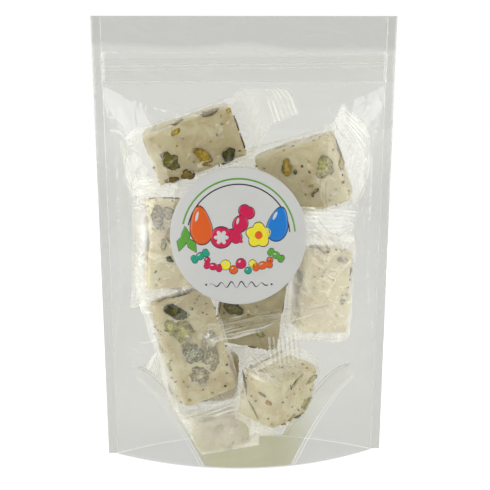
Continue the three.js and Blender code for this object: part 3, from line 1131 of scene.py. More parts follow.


BLOCKS = (
    Block(
        "1", (-25.0, -0.2, 158.2), (46, 27, 15.5), 19.5, 2, 13,
        (
            Nut("front", -13.7, -2.5, 12.5, 7.6, 108, "green"),
            Nut("front", 2.4, -6.0, 12.0, 5.6, 118, "gold"),
            Nut("front", 14.6, -9.0, 7.6, 5.8, 60, "dark"),
            Nut("front", -7.8, -12.0, 6.8, 5.2, 10, "brown"),
            Nut("front", -16.0, -11.9, 8.2, 3.4, -10, "brown"),
            Nut("front", -6.4, 10.6, 5.6, 2.6, 20, "gold"),
            Nut("front", 21.4, 12.0, 3.2, 2.2, 50, "gold"),
        ),
        (End(55, 0), End(-6, 2, 16, 13, 12.0)), (1.5, 1.0), 0.0, 1.0, 0.80,
    ),
    Block(
        "2", (30.0, 2.4, 141.2), (40, 35, 18.5), 17.5, -15, 10,
        (
            Nut("front", 13.6, 3.4, 10.0, 8.6, 40, "hazy"),
            Nut("front", -4.8, 9.0, 9.6, 5.0, 78, "gold"),
            Nut("front", 5.4, -6.8, 3.8, 1.7, 20, "brown"),
            Nut("front", 3.0, -8.4, 2.6, 1.4, 70, "brown"),
            Nut("front", -1.6, 5.2, 2.4, 1.6, 70, "dark"),
            Nut("top", -6.0, 1.0, 7.5, 2.4, 4, "hazy"),
        ),
        (End(70, 0), End(12, 34, 11, 11, 4)), (1.0, 3.0), 0.03, 1.0, 0.83,
    ),
    Block(
        "3", (-36.0, -1.0, 108.5), (44, 27, 19), 88, 10, 0,
        (
            Nut("front", 13.8, 9.6, 12.5, 6.2, 4, "tan"),
            Nut("front", 15.6, 3.6, 7.4, 5.0, 60, "grey"),
            Nut("front", 5.0, 3.0, 7.4, 5.0, 10, "gold"),
            Nut("front", 0.0, 6.6, 5.0, 3.0, 0, "hazy"),
            Nut("front", -7.0, 3.2, 4.0, 3.0, 60, "dark"),
        ),
        (End(80, -8, 5, 6), End(60, 0, 4, 6)), (1.0, 7.0), 0.15, 2.0, 1.13,
    ),
    Block(
        "4", (38.3, -0.4, 84.5), (42.5, 26, 19.5), 87.5, 12, 4,
        (
            Nut("front", -4.7, -9.0, 2.8, 2.2, 0, "grey"),
            Nut("front", 17.0, -7.0, 6.0, 2.6, 80, "grey"),
        ),
        (End(80, 0, 4, 5), End(-10, -4, 7, 12)), (1.2, 2.4), 0.30, 1.0, 0.98,
    ),
    Block(
        "5", (-27.0, -5.6, 56.8), (54.5, 30, 19), 105, 17, -4.5,
        (
            Nut("front", 20.8, 5.6, 12.0, 6.4, 48, "dark"),
            Nut("front", 15.0, 10.2, 7.6, 6.6, 30, "hazy"),
            Nut("front", 10.0, 4.6, 12.0, 8.8, 8, "hazy"),
            Nut("front", -1.2, 3.6, 12.0, 10.0, 20, "frosted"),
            Nut("front", 1.8, -7.2, 8.4, 7.4, 30, "pale"),
            Nut("front", -8.2, -5.0, 13.0, 9.0, -16, "tan"),
            Nut("front", -13.2, 3.0, 11.0, 8.4, 50, "tan"),
            Nut("top", 3.6, 2.6, 5.0, 3.4, 30, "gold"),
            Nut("top", -5.9, -2.6, 5.4, 3.0, 60, "hazy"),
        ),
        (End(18, 8, 7, 8), End(70, -12, 4, 5)), (2.0, 3.0), 0.08, 3.0, 0.84,
    ),
    Block(
        "6", (16.6, -1.6, 32.6), (26, 35, 24), 96, 51, 13,
        (
            Nut("front", 9.6, 2.2, 12.0, 2.8, 118, "hazy"),
            Nut("front", -6.0, -9.0, 10.5, 6.4, 60, "hazy"),
            Nut("front", 6.4, -12.2, 9.0, 3.2, 96, "hazy"),
            Nut("front", -11.2, 2.0, 7.5, 2.0, 110, "gold"),
            Nut("top", 5.0, 8.6, 15.0, 0.8, 20, "brown"),
            Nut("top", -6.5, 1.5, 11.0, 0.8, 45, "hazy"),
            Nut("top", 1.0, -6.6, 3.6, 2.6, 80, "rust"),
            Nut("top", 4.0, -2.6, 4.4, 1.3, 80, "brown"),
            Nut("right", 5.0, 10.3, 7.0, 4.0, 10, "gold"),
        ),
        (End(80, 0, 4, 4), End(95, 0, 3, 3)), (1.0, 1.5), 0.04, 1.4, 0.86,
    ),
    Block(
        "7", (4.5, 15.5, 75.0), (46, 33, 16.5), 82, -3, 0,
        (
            Nut("front", -3.1, 9.2, 10.5, 6.6, 70, "green"),
            Nut("front", -14.0, -6.0, 5.0, 3.4, 40, "hazy"),
            Nut("back", 6.0, -4.0, 9.0, 6.0, 30, "green"),
        ),
        (End(40, 0, 5, 7), End(30, 0)), (2.0, 2.0), 0.03, 1.0, 0.76,
    ),
    Block(
        "8", (-15.0, 2.0, 11.3), (34, 17, 20), 0, 30, 0,
        (Nut("front", -4.0, 3.0, 6.0, 4.0, 10, "hazy"),),
        (End(40, 20, 7, 7), End(40, 20, 7, 7)), (1.0, 1.0), 0.45, 1.0, 0.80,
    ),
    Block(
        "9", (-8.0, 10.0, 121.0), (38, 26, 15), 90, 0, 0,
        (Nut("back", 4.0, 3.0, 9.0, 6.4, 60, "green"),),
        (End(30, 0, 6, 7), End(30, 0, 6, 7)), (1.0, 1.0),
    ),
    Block(
        "10", (-21.0, 14.0, 36.0), (36, 25, 14), 0, 12, 0,
        (Nut("back", -5.0, 4.0, 8.0, 6.0, 20, "gold"),),
        (End(-20, 30, 6, 7), End(-30, 10, 5, 6)), (1.0, 1.0),
    ),
)

# Colours of a cut nut: its heart, its body and its skin.
NUT_COLOURS = {
    "green": ((0.24, 0.21, 0.030), (0.115, 0.098, 0.010), (0.035, 0.026, 0.006)),
    "dark": ((0.13, 0.125, 0.018), (0.055, 0.052, 0.008), (0.020, 0.018, 0.008)),
    "gold": ((0.56, 0.39, 0.035), (0.31, 0.205, 0.010), (0.10, 0.055, 0.006)),
    "brown": ((0.26, 0.18, 0.022), (0.13, 0.078, 0.009), (0.050, 0.022, 0.005)),
    "rust": ((0.50, 0.25, 0.05), (0.40, 0.20, 0.05), (0.16, 0.07, 0.02)),
    "hazy": ((0.48, 0.46, 0.18), (0.30, 0.28, 0.105), (0.10, 0.080, 0.050)),
    "grey": ((0.46, 0.40, 0.24), (0.27, 0.22, 0.12), (0.12, 0.085, 0.055)),
    "tan": ((0.44, 0.37, 0.21), (0.25, 0.21, 0.11), (0.09, 0.07, 0.035)),
    "pale": ((0.62, 0.59, 0.46), (0.38, 0.35, 0.24), (0.13, 0.11, 0.07)),
    "frosted": ((0.34, 0.34, 0.20), (0.17, 0.17, 0.09), (0.06, 0.055, 0.03)),
}
FROST = {"frosted": 0.75, "pale": 0.6, "grey": 0.25, "tan": 0.35}
SUGAR = (0.74, 0.75, 0.68)
NOUGAT_SEED = 100
SCATTER_SEED = 300
NUT_SEED = 500
BLOCK_STEP = 0.8
BLOCK_ROUND = 2.3
BLOCK_BOW = 0.75
BLOCK_SHRINK = 0.45  # keeps the bowed faces inside the wrapper
BLOCK_ROUGH = 0.18
BLOCK_GRAIN = 0.08
BLOCK_PITS = 0.35


def turned(block):
    """Rotation from a block's own axes to the pouch's."""
    a, b, c = (math.radians(angle) for angle in (block.roll, block.yaw, block.lean))
    roll = np.array([[math.cos(a), 0, -math.sin(a)], [0, 1, 0], [math.sin(a), 0, math.cos(a)]])
    yaw = np.array([[math.cos(b), -math.sin(b), 0], [math.sin(b), math.cos(b), 0], [0, 0, 1]])
    lean = np.array([[1, 0, 0], [0, math.cos(c), -math.sin(c)], [0, math.sin(c), math.cos(c)]])
    return yaw @ lean @ roll


def half_size(block):
    """Half the block's length, thickness and width, along its own axes."""
    length, width, thickness = block.size
    return np.array([length, thickness, width]) / 2


def in_pouch(block, points):
    """A block's own points, turned, moved and kept inside the film."""
    return keep_inside(points @ turned(block).T + np.array(block.centre))


def box_grid(half, step):
    """Points and quads of a box's surface, shared along its edges."""
    points, faces = [], []
    for axis in range(3):
        u, v = (axis + 1) % 3, (axis + 2) % 3
        nu, nv = (max(int(2 * half[k] / step), 2) + 1 for k in (u, v))
        for side in (-1, 1):
            a, b = np.meshgrid(np.linspace(-half[u], half[u], nu), np.linspace(-half[v], half[v], nv))
            grid = np.zeros((nv, nu, 3))
            grid[..., u], grid[..., v], grid[..., axis] = a, b, side * half[axis]
            index = np.arange(nu * nv).reshape(nv, nu) + sum(len(p) for p in points)
            quads = np.stack([index[:-1, :-1], index[:-1, 1:], index[1:, 1:], index[1:, :-1]], -1)
            quads = quads.reshape(-1, 4)
            points.append(grid.reshape(-1, 3))
            faces.append(quads if side > 0 else quads[:, ::-1])
    points = np.concatenate(points)
    _, first, shared = np.unique(np.round(points, 4), axis=0, return_index=True, return_inverse=True)
    return points[first], shared.reshape(-1)[np.concatenate(faces)]


def nougat_block(block, seed):
    """A hand-cut block: worn edges, slightly uneven faces, small pits."""
    half = half_size(block)
    points, faces = box_grid(half, BLOCK_STEP)
    own = points + np.array(block.centre)
    round_by = BLOCK_ROUND * (1 + 0.75 * lattice_noise(own, 6, seed))[:, None]
    core = np.clip(points, -(half - round_by), half - round_by)
    out = points - core
    out /= np.linalg.norm(out, axis=1)[:, None]
    bow = BLOCK_BOW * lattice_noise(own, 13, seed + 1) - BLOCK_SHRINK
    rough = BLOCK_ROUGH * block.lumps * lattice_noise(own, 4.1, seed + 2)
    rough += BLOCK_GRAIN * lattice_noise(own, 1.4, seed + 3)
    pits = BLOCK_PITS * np.clip(lattice_noise(own, 2.3, seed + 4) - 0.55, 0, 1)
    points = core + out * (round_by + (bow + rough - pits)[:, None])
    return Mesh(in_pouch(block, points), faces)


FACE_AXES = {
    "front": ((1, 0, 0), (0, 0, 1), (0, -1, 0)),
    "back": ((1, 0, 0), (0, 0, 1), (0, 1, 0)),
    "top": ((1, 0, 0), (0, 1, 0), (0, 0, 1)),
    "bottom": ((1, 0, 0), (0, 1, 0), (0, 0, -1)),
    "left": ((0, 1, 0), (0, 0, 1), (-1, 0, 0)),
    "right": ((0, 1, 0), (0, 0, 1), (1, 0, 0)),
}
NUT_PROUD = 0.22
NUT_DEEP = 1.2
NUT_BUMPS = 0.14
ROOT_SHARES = (0.94, 0.6)  # of the nut's radius, at the heights of its two lowest rings
ROOT_HEIGHTS = (-0.5, -NUT_DEEP)
CRUMB_SIZE = 2.0  # nuts smaller than this need few faces
NUT_GRID = (9, 42)  # rings and sectors
CRUMB_GRID = (3, 8)
NUT_JAGS = ((0.30, 0.8), (0.20, 0.36), (0.08, 0.15))  # depths and widths of the notches


def nut_outline(nut, angles, seed):
    """Radius of a torn, notched oval."""
    circle = np.stack([np.cos(angles), np.sin(angles), np.full_like(angles, seed * 1.7)], -1)
    jag = sum(
        depth * lattice_noise(circle, cell, seed + number)
        for number, (depth, cell) in enumerate(NUT_JAGS)
    )
    along, across = np.cos(angles) / (nut.length / 2), np.sin(angles) / (nut.width / 2)
    return (1 + jag) / np.hypot(along, across)


def nut_mesh(block, nut, seed):
    """A cut nut: a low dome in the face over a shallow root, with its colours."""
    rings, sectors = CRUMB_GRID if nut.length < CRUMB_SIZE else NUT_GRID
    along, across, out = (np.array(axis, float) for axis in FACE_AXES[nut.face])
    middle = along * nut.along + across * nut.across + out * np.abs(out @ half_size(block))
    angles = np.arange(sectors) * 2 * math.pi / sectors
    turn = math.radians(nut.turn)
    radius = nut_outline(nut, angles, seed)
    shares = np.linspace(0.08, 1, rings)
    heights = NUT_PROUD * block.lumps * (1 - shares**4)
    shares = np.concatenate([shares, ROOT_SHARES])
    heights = np.concatenate([heights, ROOT_HEIGHTS])
    points, tones, frosts, skins = [], [], [], []
    for share, height in zip(shares, heights):
        a = share * radius * np.cos(angles)
        b = share * radius * np.sin(angles)
        u = a * math.cos(turn) - b * math.sin(turn)
        v = a * math.sin(turn) + b * math.cos(turn)
        flat = np.stack([u, v, np.full_like(u, seed)], -1)
        lift = height + NUT_BUMPS * block.lumps * lattice_noise(flat, 1.3, seed + 3)
        points.append(middle + u[:, None] * along + v[:, None] * across + lift[:, None] * out)
        split = np.stack([a, b * 2.2, np.full_like(u, seed)], -1)
        patchy = 0.34 * lattice_noise(flat, 2.2, seed + 4) + 0.3 * lattice_noise(split, 1.0, seed + 5)
        rim = np.stack([np.cos(angles), np.sin(angles), np.full_like(u, seed)], -1)
        skins.append(smooth(lattice_noise(rim, 0.7, seed + 7), -0.35, 0.35))
        tones.append(share + patchy)
        frosts.append(lattice_noise(flat, 0.55, seed + 6))
    points = np.concatenate(points + [np.stack([middle + out * NUT_PROUD, middle - out * NUT_DEEP])])
    faces = tube_faces(len(shares), sectors)
    if np.cross(along, across) @ out > 0:
        faces = flipped(faces)
    tone = np.concatenate(tones + [np.array([0.2, 1])])[:, None]
    frost = np.concatenate(frosts + [np.array([0, 0])])[:, None]
    skinned = np.concatenate(skins + [np.array([0, 1])])[:, None]
    heart, body, skin = (np.array(c) for c in NUT_COLOURS[nut.kind])
    colour = mix(heart, body, smooth(tone, 0.10, 0.62))
    colour = mix(colour, skin, smooth(tone, 0.86, 1.06) * skinned)
    white = smooth(frost, 0.1, 0.5) * FROST.get(nut.kind, 0.0) * (1 - 0.5 * smooth(tone, 0.8, 1))
    colour = mix(colour, np.array(SUGAR), white)
    return Mesh(in_pouch(block, points), faces), colour


class Scatter(NamedTuple):
    """How nuts of one sort lie on a face: ranges of their size, place and shape."""

    sizes: tuple
    spread: tuple  # shares of the face's length and width, either side of its middle
    widths: tuple  # shares of the nut's own length
    kinds: tuple


WHOLE_NUTS = Scatter((5.5, 10.5), (0.34, 0.3), (0.5, 0.8), ("green", "gold", "brown", "hazy", "grey"))
CRUMBS = Scatter((0.5, 1.7), (0.45, 0.44), (0.4, 0.9), ("brown", "tan", "gold", "grey"))
AREA_FOR_NUT = 210
AREA_FOR_CRUMB = 55


def random_nut(draw, face, long, wide, scatter):
    """One nut at random on a face of that length and width."""
    size = draw.uniform(*scatter.sizes)
    along = draw.uniform(-scatter.spread[0], scatter.spread[0]) * long
    across = draw.uniform(-scatter.spread[1], scatter.spread[1]) * wide
    kind = scatter.kinds[draw.integers(len(scatter.kinds))]
    width = size * draw.uniform(*scatter.widths)
    return Nut(face, along, across, size, width, draw.uniform(0, 180), kind)


def scattered_nuts(block, seed):
    """Nuts on the faces turned away, and crumbs of nut on every face."""
    draw = np.random.default_rng(seed)
    length, width, thickness = block.size
    spans = {
        "front": (length, width), "back": (length, width),
        "top": (length, thickness), "bottom": (length, thickness),
        "left": (thickness, width), "right": (thickness, width),
    }
    nuts = []
    for face, (long, wide) in spans.items():
        placed = face == "front" or any(nut.face == face for nut in block.nuts)
        whole = 0 if placed else max(1, round(long * wide / AREA_FOR_NUT))
        crumbs = round(long * wide / AREA_FOR_CRUMB)
        for scatter in [WHOLE_NUTS] * whole + [CRUMBS] * crumbs:
            nuts.append(random_nut(draw, face, long, wide, scatter))
    return nuts


DARKER_IS_TANNER = (1, 1.05, 1.25)  # powers of the painted light and shade in red, green and blue, so that shaded nougat turns tanner
FLECK = (0.50, 0.36, 0.17)
FLECK_SHARE = 0.7


def nougat_material(pale, deep):
    """Dense egg-white nougat: cream, matt, with a fine crumb and tan clouds."""
    material, tree, output = new_material("nougat")
    place = tree.own_place()
    cloud = tree.noise(place, 95.0, 6.0, 0.62, 0.5)
    fine = tree.noise(place, 420.0, 4.0, 0.65)
    crumb = tree.noise(place, 1300.0, 3.0, 0.6)
    base = tree.mix_colour(tree.ramp(cloud, 0.36, 0.66), rgba(pale), rgba(deep))
    fleck = tree.math("MULTIPLY", tree.ramp(fine, 0.60, 0.78), FLECK_SHARE)
    base = tree.mix_colour(fleck, base, rgba(FLECK))
    # Each block's painted light and shade multiplies the nougat's colour.
    base = tree.mix_colour(1.0, base, tree.attribute("shade"), "MULTIPLY")
    height = tree.math("ADD", fine, tree.math("MULTIPLY", crumb, 0.35))
    tree.paint(output, base, tree.scale_add(fine, 0.25, 0.45), {
        "Normal": tree.bump(height, 0.5, 0.0003),
        "Specular IOR Level": 0.25,
        "Subsurface Weight": 0.35,
        "Subsurface Radius": (1.0, 0.8, 0.5),
        "Subsurface Scale": 0.0025,
    })
    return material


def nut_material():
    """Cut pistachio: colour from each nut's heart to its skin, with fine fibre."""
    material, tree, output = new_material("pistachio")
    fibre = tree.noise(tree.own_place(), 900.0, 4.0, 0.6)
    colour = tree.attribute("nut_colour")
    dark = tree.mix_colour(1.0, colour, (0.62, 0.62, 0.55, 1.0), "MULTIPLY")
    pale = tree.mix_colour(1.0, colour, (1.6, 1.6, 1.6, 1.0), "MULTIPLY")
    base = tree.mix_colour(tree.ramp(fibre, 0.3, 0.7), dark, pale)
    bump = tree.bump(fibre, 0.6, 0.0003)
    tree.paint(output, base, 0.42, {"Normal": bump, "Specular IOR Level": 0.1})
    return material


class POUCH_OT_nougat(bpy.types.Operator):
    """Builds the blocks of nougat"""

    bl_idname = "nougat_pouch.nougat"
    bl_label = "Nougat"

    def execute(self, context):
        settings = context.scene.pouch_nougat
        material = nougat_material(settings.pale, settings.deep)
        for number, block in enumerate(BLOCKS):
            mesh = nougat_block(block, NOUGAT_SEED + 10 * number)
            piece = add_piece(f"nougat_{block.name}", mesh, material)
            # Painted light and shade: each block's nougat is lightened or darkened for how light falls on
            # it.
            shade = block.tone ** np.array(DARKER_IS_TANNER)
            set_colours(piece, "shade", np.tile(shade, (len(mesh.points), 1)))
            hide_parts("pouch")
        return {"FINISHED"}


class POUCH_OT_pistachios(bpy.types.Operator):
    """Builds the pistachios that show in the blocks' faces"""

    bl_idname = "nougat_pouch.pistachios"
    bl_label = "Pistachios"

    def execute(self, context):
        material = nut_material()
        for number, block in enumerate(BLOCKS):
            nuts = [*block.nuts, *scattered_nuts(block, SCATTER_SEED + number)]
            first = NUT_SEED + 40 * number
            made = [nut_mesh(block, nut, seed) for seed, nut in enumerate(nuts, first)]
            mesh = join_meshes([m for m, _ in made])
            piece = add_piece(f"pistachios_{block.name}", mesh, material)
            set_colours(piece, "nut_colour", np.concatenate([colour for _, colour in made]))
            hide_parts("pouch")
        return {"FINISHED"}


# ---------------------------------------------------------------- wrappers

WRAPPER_SEED = 700
FOLD_SEED = 900
WRAP_GAP = 0.25
WRAP_END_ROOM = 1.2
CRIMP_HALF = 0.13
CRIMP_RIB = 0.36
PLEATS = 11
PLEAT_DEPTH = 1.1
PLEAT_SWAY = 0.6
AROUND = 130
WRAP_STEPS = (0.9, 0.6, 0.32)  # along the block, the gather and the crimp
CREASE_LIFT = 0.4
SLANT_LIFT = 0.36
END_WANDER = 1.3
TIP_HAZE = 0.1
CLEAR_HAZE = 0.001
GATHER_HAZE = 0.13
BUNCH_HAZE = 0.14
RIB_HAZE_AND_GLINT = 0.7
SLANT_HAZE = 0.2
CREASE_HAZE = 0.06
SPARE_HAZE = 0.06
UPPER_EDGE_HAZE = 0.13
EDGE_HAZE = 0.16


def wrapper_stations(block):
    """Places along the wrapper, closest together in its crimped ends."""
    body = block.size[0] / 2 + WRAP_END_ROOM
    halves = []
    for end in block.ends:
        marks = (0, body, body + end.gather, body + end.gather + end.crimp)
        half = [np.arange(*span) for span in zip(marks, marks[1:], WRAP_STEPS)]
        halves.append(np.concatenate(half + [np.array(marks[-1:])]))
    return np.concatenate([-halves[0][:0:-1], halves[1]]), body


def wrapper_ring(width, thickness, loose):
    """Points (across, deep) round the section, from its lower front corner."""
    low, high = -width / 2 - loose[0], width / 2 + loose[1]
    half = thickness / 2
    corners = [(low, -half), (high, -half), (high, half), (low, half)]
    edges = list(zip(corners, corners[1:] + corners[:1]))
    lengths = np.array([math.dist(a, b) for a, b in edges])
    counts = np.maximum((AROUND * lengths / lengths.sum()).astype(int), 8)
    sides = [np.linspace(a, b, n, endpoint=False) for (a, b), n in zip(edges, counts)]
    return np.concatenate(sides)


def slanted(place, angle, long, narrow, seed):
    """Straight creases that run at an angle to the wrapper's axis."""
    c, s = math.cos(math.radians(angle)), math.sin(math.radians(angle))
    x, y, z = np.moveaxis(place, -1, 0)
    slanting = np.stack([c * x + s * z, y, c * z - s * x], -1)
    patchy = smooth(lattice_noise(place, 11, seed + 1), -0.1, 0.35)
    return ridges(slanting, (long, 14, narrow), seed, 9) * patchy


def wrapper_mesh(block, seed, slack_size, pitch):
    """A flow wrap: slack creased film round the block, gathered to crimped ends."""
    _, width, thickness = block.size
    u, body = wrapper_stations(block)
    section = wrapper_ring(width, thickness, block.loose)
    across0, deep0 = section[:, 0][None, :], section[:, 1][None, :]
    along = u[:, None] + np.zeros_like(across0)
    gather = np.where(along < 0, block.ends[0].gather, block.ends[1].gather)
    past = np.abs(along) - body
    flat = smooth(past / gather, 0, 1)
    crimp = smooth(past - gather, 0, 0.8)
    # Beside the block the loose film pinches together.
    beyond = np.maximum(np.abs(across0) - width / 2, 0) / max(*block.loose, 0.5)
    pinch = 1 - 0.93 * smooth(beyond, 0, 0.8)
    deep = mix((deep0 + np.sign(deep0) * WRAP_GAP) * pinch, np.sign(deep0) * CRIMP_HALF, flat)
    across = (across0 + np.sign(across0) * WRAP_GAP) * (1 + 0.04 * flat)
    half = half_size(block)
    points = np.stack([along, deep, across], -1)
    core = np.clip(points, -half, half) * np.array([1, 0.9, 0.9])
    out = points - core
    out[..., 0] *= 0.2
    out /= np.maximum(np.linalg.norm(out, axis=-1), 1e-6)[..., None]
    place = points + np.array(block.centre)
    tents = np.clip(0.25 + lattice_noise(place, (13, 9, 11), seed), 0, 1) ** 1.3
    crease = ridges(place, (9, 6, 7), seed + 1, 9)
    slants = slanted(place, 32, 15, 2.4, seed + 2) + slanted(place, -48, 12, 2.2, seed + 4)
    small = ridges(place, (3.4, 3.0, 3.0), seed + 6, 7)
    near_end = smooth(np.abs(along), body - 5, body)
    lift = slack_size * tents + CREASE_LIFT * crease + SLANT_LIFT * slants
    lift += (0.12 + 0.34 * near_end) * small
    points = points + out * (lift * (1 - flat))[..., None]
    bunch = 4 * flat * (1 - flat)
    phase = 2 * lattice_noise(place, (6, 30, 5), seed + 7)
    pleat = np.sin(across0 / width * math.pi * PLEATS + phase * 2)
    points[..., 1] += bunch * PLEAT_DEPTH * pleat * np.sign(deep0)
    points[..., 2] += bunch * PLEAT_SWAY * np.cos(across0 * 1.9 + phase)
    rib = np.sin((past - gather) * 2 * math.pi / pitch)
    level = np.stack([along, np.zeros_like(along), across], -1)
    points[..., 1] += crimp * CRIMP_RIB * rib
    points[..., 1] += smooth(flat, 0.4, 1) * END_WANDER * lattice_noise(level, (12, 1, 9), seed + 8)
    broken = 0.25 + 0.75 * smooth(lattice_noise(level, (6, 1, 7), seed + 9), -0.4, 0.3)
    milky = CLEAR_HAZE + GATHER_HAZE * flat + BUNCH_HAZE * bunch
    # Haze on the crimp ribs' crests: partly real haze, partly a painted highlight for their bright glints.
    milky += RIB_HAZE_AND_GLINT * crimp * np.maximum(rib, 0) ** 3 * broken
    milky += SLANT_HAZE * slants**3 * (1 - flat) + block.haze * (1 - flat) * (0.8 + 0.3 * tents)
    milky += CREASE_HAZE * small * near_end + SPARE_HAZE * smooth(beyond, 0, 0.5)
    upper = smooth(across0, width / 2 - 0.6, width / 2)
    milky += UPPER_EDGE_HAZE * upper * (1 - flat) * (0.2 + 1.2 * tents)
    both = smooth(np.abs(across0), width / 2 - 3, width / 2)
    milky += EDGE_HAZE * both * (1 - flat) * tents
    points = bend_ends(points, u, body, block.ends)
    tips = np.stack([points[0].mean(0), points[-1].mean(0)])
    faces = flipped(tube_faces(len(u), len(section)))
    points = np.concatenate([points.reshape(-1, 3), tips])
    return Mesh(in_pouch(block, points), faces), np.append(milky.ravel(), [TIP_HAZE, TIP_HAZE])


def bend_ends(points, u, body, ends):
    """Curls each end of the wrapper along an arc, back or forward and up or down."""
    bent = points.copy()
    for (bend, sweep, gather, crimp, rise), sign in zip(ends, (-1, 1)):
        past = np.maximum(sign * u - body, 0)
        turn = smooth(past, 0, gather + crimp)
        order = np.argsort(past)
        step = np.diff(past[order], prepend=0)
        angle_y = math.radians(bend) * turn[order]
        angle_z = math.radians(sweep) * turn[order]
        run = np.cumsum(step * np.cos(angle_y) * np.cos(angle_z))
        deep = np.cumsum(step * np.sin(angle_y))
        side = np.cumsum(step * np.sin(angle_z) * np.cos(angle_y))
        back = np.argsort(order)
        run, deep, side = run[back], deep[back], side[back]
        side = side + rise * smooth(past, 0, gather)
        active = past > 0
        a, b = math.radians(bend) * turn, math.radians(sweep) * turn
        y, z = points[..., 1], points[..., 2]
        x = sign * (body + run[:, None] - y * np.sin(a)[:, None] - z * np.sin(b)[:, None])
        bent[..., 0] = np.where(active[:, None], x, bent[..., 0])
        bent[..., 1] = np.where(active[:, None], deep[:, None] + y * np.cos(a)[:, None], y)
        bent[..., 2] = np.where(active[:, None], side[:, None] + z * np.cos(b)[:, None], z)
    return bent


class Fold(NamedTuple):
    """A flat gathered end of a wrapper, from where it leaves the block to its tip."""

    name: str
    start: tuple
    tip: tuple
    widths: tuple
    pleats: float
    ribs: float  # height of the ribs that seal it


FOLDS = (
    Fold("right", (-19, -18, 66.2), (39, -14.5, 77.7), (11, 6), 7, 0),
    Fold("down", (2, -16, 54.5), (15.5, -23.6, 40.4), (3, 4), 2, 0),
    Fold("crimp", (11, -17.0, 56.5), (26, -18.0, 58.0), (13, 14), 0, 0.7),
)
FOLD_STEP = 0.4
FOLD_COLUMNS = 72
FOLD_HALF = 0.07  # of the doubled sheet's thickness
FOLD_HAZE = 0.01
FOLD_CREST_HAZE = 0.26
GROOVE_SHADE = np.array([0.26, 0.30, 0.40])


def fold_mesh(fold, seed, pitch):
    """A doubled sheet whose pleats run to its tip, or whose ribs cross it."""
    start, tip = np.array(fold.start, float), np.array(fold.tip, float)
    length = np.linalg.norm(tip - start)
    side = np.cross(tip - start, (0, -1, 0))
    side /= np.linalg.norm(side)
    if side[2] < 0:
        side = -side
    along = np.linspace(0, 1, int(length / FOLD_STEP))
    t, w = np.meshgrid(along, np.linspace(0.5, -0.5, FOLD_COLUMNS))
    edge = lattice_noise(np.stack([t * 9, np.sign(w), w * 0], -1), 1, seed)
    width = mix(*fold.widths, smooth(t, 0, 1)) * (1 + 0.2 * edge)
    place = np.stack([t * length, w * 30, np.zeros_like(t)], -1)
    drift = 0.3 * lattice_noise(place, (14, 8, 1), seed + 1)
    swing = math.pi * (w + 0.5 * drift) * fold.pleats
    pleat = np.abs(np.sin(swing))
    rib = np.sin(2 * math.pi * t * length / pitch)
    broad = lattice_noise(place, (11, 12, 1), seed + 2)
    patchy = smooth(lattice_noise(place, (9, 3, 1), seed + 3), -0.5, 0.5)
    depth = 0.8 * pleat + 0.9 * broad * smooth(t, 0, 0.2) + fold.ribs * rib
    centre = start + (tip - start) * t[..., None]
    middle = centre + side * (w * width)[..., None]
    grids = [
        middle - np.array([0, 1, 0]) * (depth + half)[..., None] for half in (FOLD_HALF, -FOLD_HALF)
    ]
    sheet = closed_sheet(*grids)
    crest = np.maximum(pleat**10 * patchy, 1.4 * fold.ribs * np.maximum(rib, 0) ** 3)
    groove = 0.3 * np.maximum(-rib, 0) ** 3
    if fold.pleats:
        groove = np.exp(-7 * pleat) * (1 - 0.6 * patchy)
    milky = FOLD_HAZE + FOLD_CREST_HAZE * crest.ravel()
    clear = 1 - groove.ravel()[:, None] * GROOVE_SHADE
    return Mesh(keep_inside(sheet.points), sheet.faces), np.tile(milky, 2), np.tile(clear, (2, 1))


class POUCH_OT_wrappers(bpy.types.Operator):
    """Builds the clear flow wrap round each block and the loose wrapper ends"""

    bl_idname = "nougat_pouch.wrappers"
    bl_label = "Wrappers"

    def execute(self, context):
        settings = context.scene.pouch_nougat
        look = Film(
            settings.wrap_tint, mirror=0.02, haze=settings.wrap_haze, roughness=0.09,
            crease_scale=1.5, crease_depth=0.00035, crease_lines=0.08, edge=0.15, rim=0.25,
        )
        film = film_material("wrapper_film", look)
        pitch = settings.crimp_pitch / MM
        made = {}
        for number, block in enumerate(BLOCKS):
            seed = WRAPPER_SEED + 10 * number
            mesh, milky = wrapper_mesh(block, seed, settings.wrap_slack / MM, pitch)
            made[block.name] = mesh, milky, 1
        for number, fold in enumerate(FOLDS):
            made[f"fold_{fold.name}"] = fold_mesh(fold, FOLD_SEED + 10 * number, pitch)
        for name, (mesh, milky, clear) in made.items():
            piece = add_piece(f"wrapper_{name}", mesh, film)
            set_film(piece, clear, milky)
            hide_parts("pouch")
        return {"FINISHED"}


# ---------------------------------------------------------------- studio

CAMERA_DISTANCE = 650
CAMERA_LOOK = (0.074, 0, 106.907)
CAMERA_ELEVATION = 8.87
CAMERA_YAW = 3.32
CAMERA_FOCAL = 1296.65  # in pixels of the square image
IMAGE_SIZE = 490
SENSOR = 36.0
# The floor and the lights, in metres.
FLOOR_HALF = 2.5
FLOOR_DROP = 0.0004
FLOOR_CORNERS = ((-1, -1), (1, -1), (1, 1), (-1, 1))
AIM = (0, 0, 0.1)
SOFTBOXES = (
    ("key", (-0.86, -0.46, 0.50), (0.9, 1.0)),
    ("fill", (0.90, -0.38, 0.45), (0.9, 1.0)),
    ("top", (0, 0.85, 0.95), (0.9, 0.7)),
    ("front", (-0.35, -1.1, 1.0), (0.2, 0.2)),
)
WHITE = (1, 1, 1, 1)


def add_camera(scene):
    """The view from the front, a little above and to the left."""
    elevation, yaw = math.radians(CAMERA_ELEVATION), math.radians(CAMERA_YAW)
    ahead = Vector((
        math.sin(yaw) * math.cos(elevation),
        math.cos(yaw) * math.cos(elevation),
        -math.sin(elevation),
    ))
    camera = bpy.data.cameras.new("camera")
    camera.sensor_width = SENSOR
    camera.lens = CAMERA_FOCAL / IMAGE_SIZE * SENSOR
    camera.clip_start = 0.01
    holder = bpy.data.objects.new("camera", camera)
    holder.location = (Vector(CAMERA_LOOK) - ahead * CAMERA_DISTANCE) * MM
    holder.rotation_euler = ahead.to_track_quat("-Z", "Y").to_euler()
    scene.collection.objects.link(holder)
    scene.camera = holder


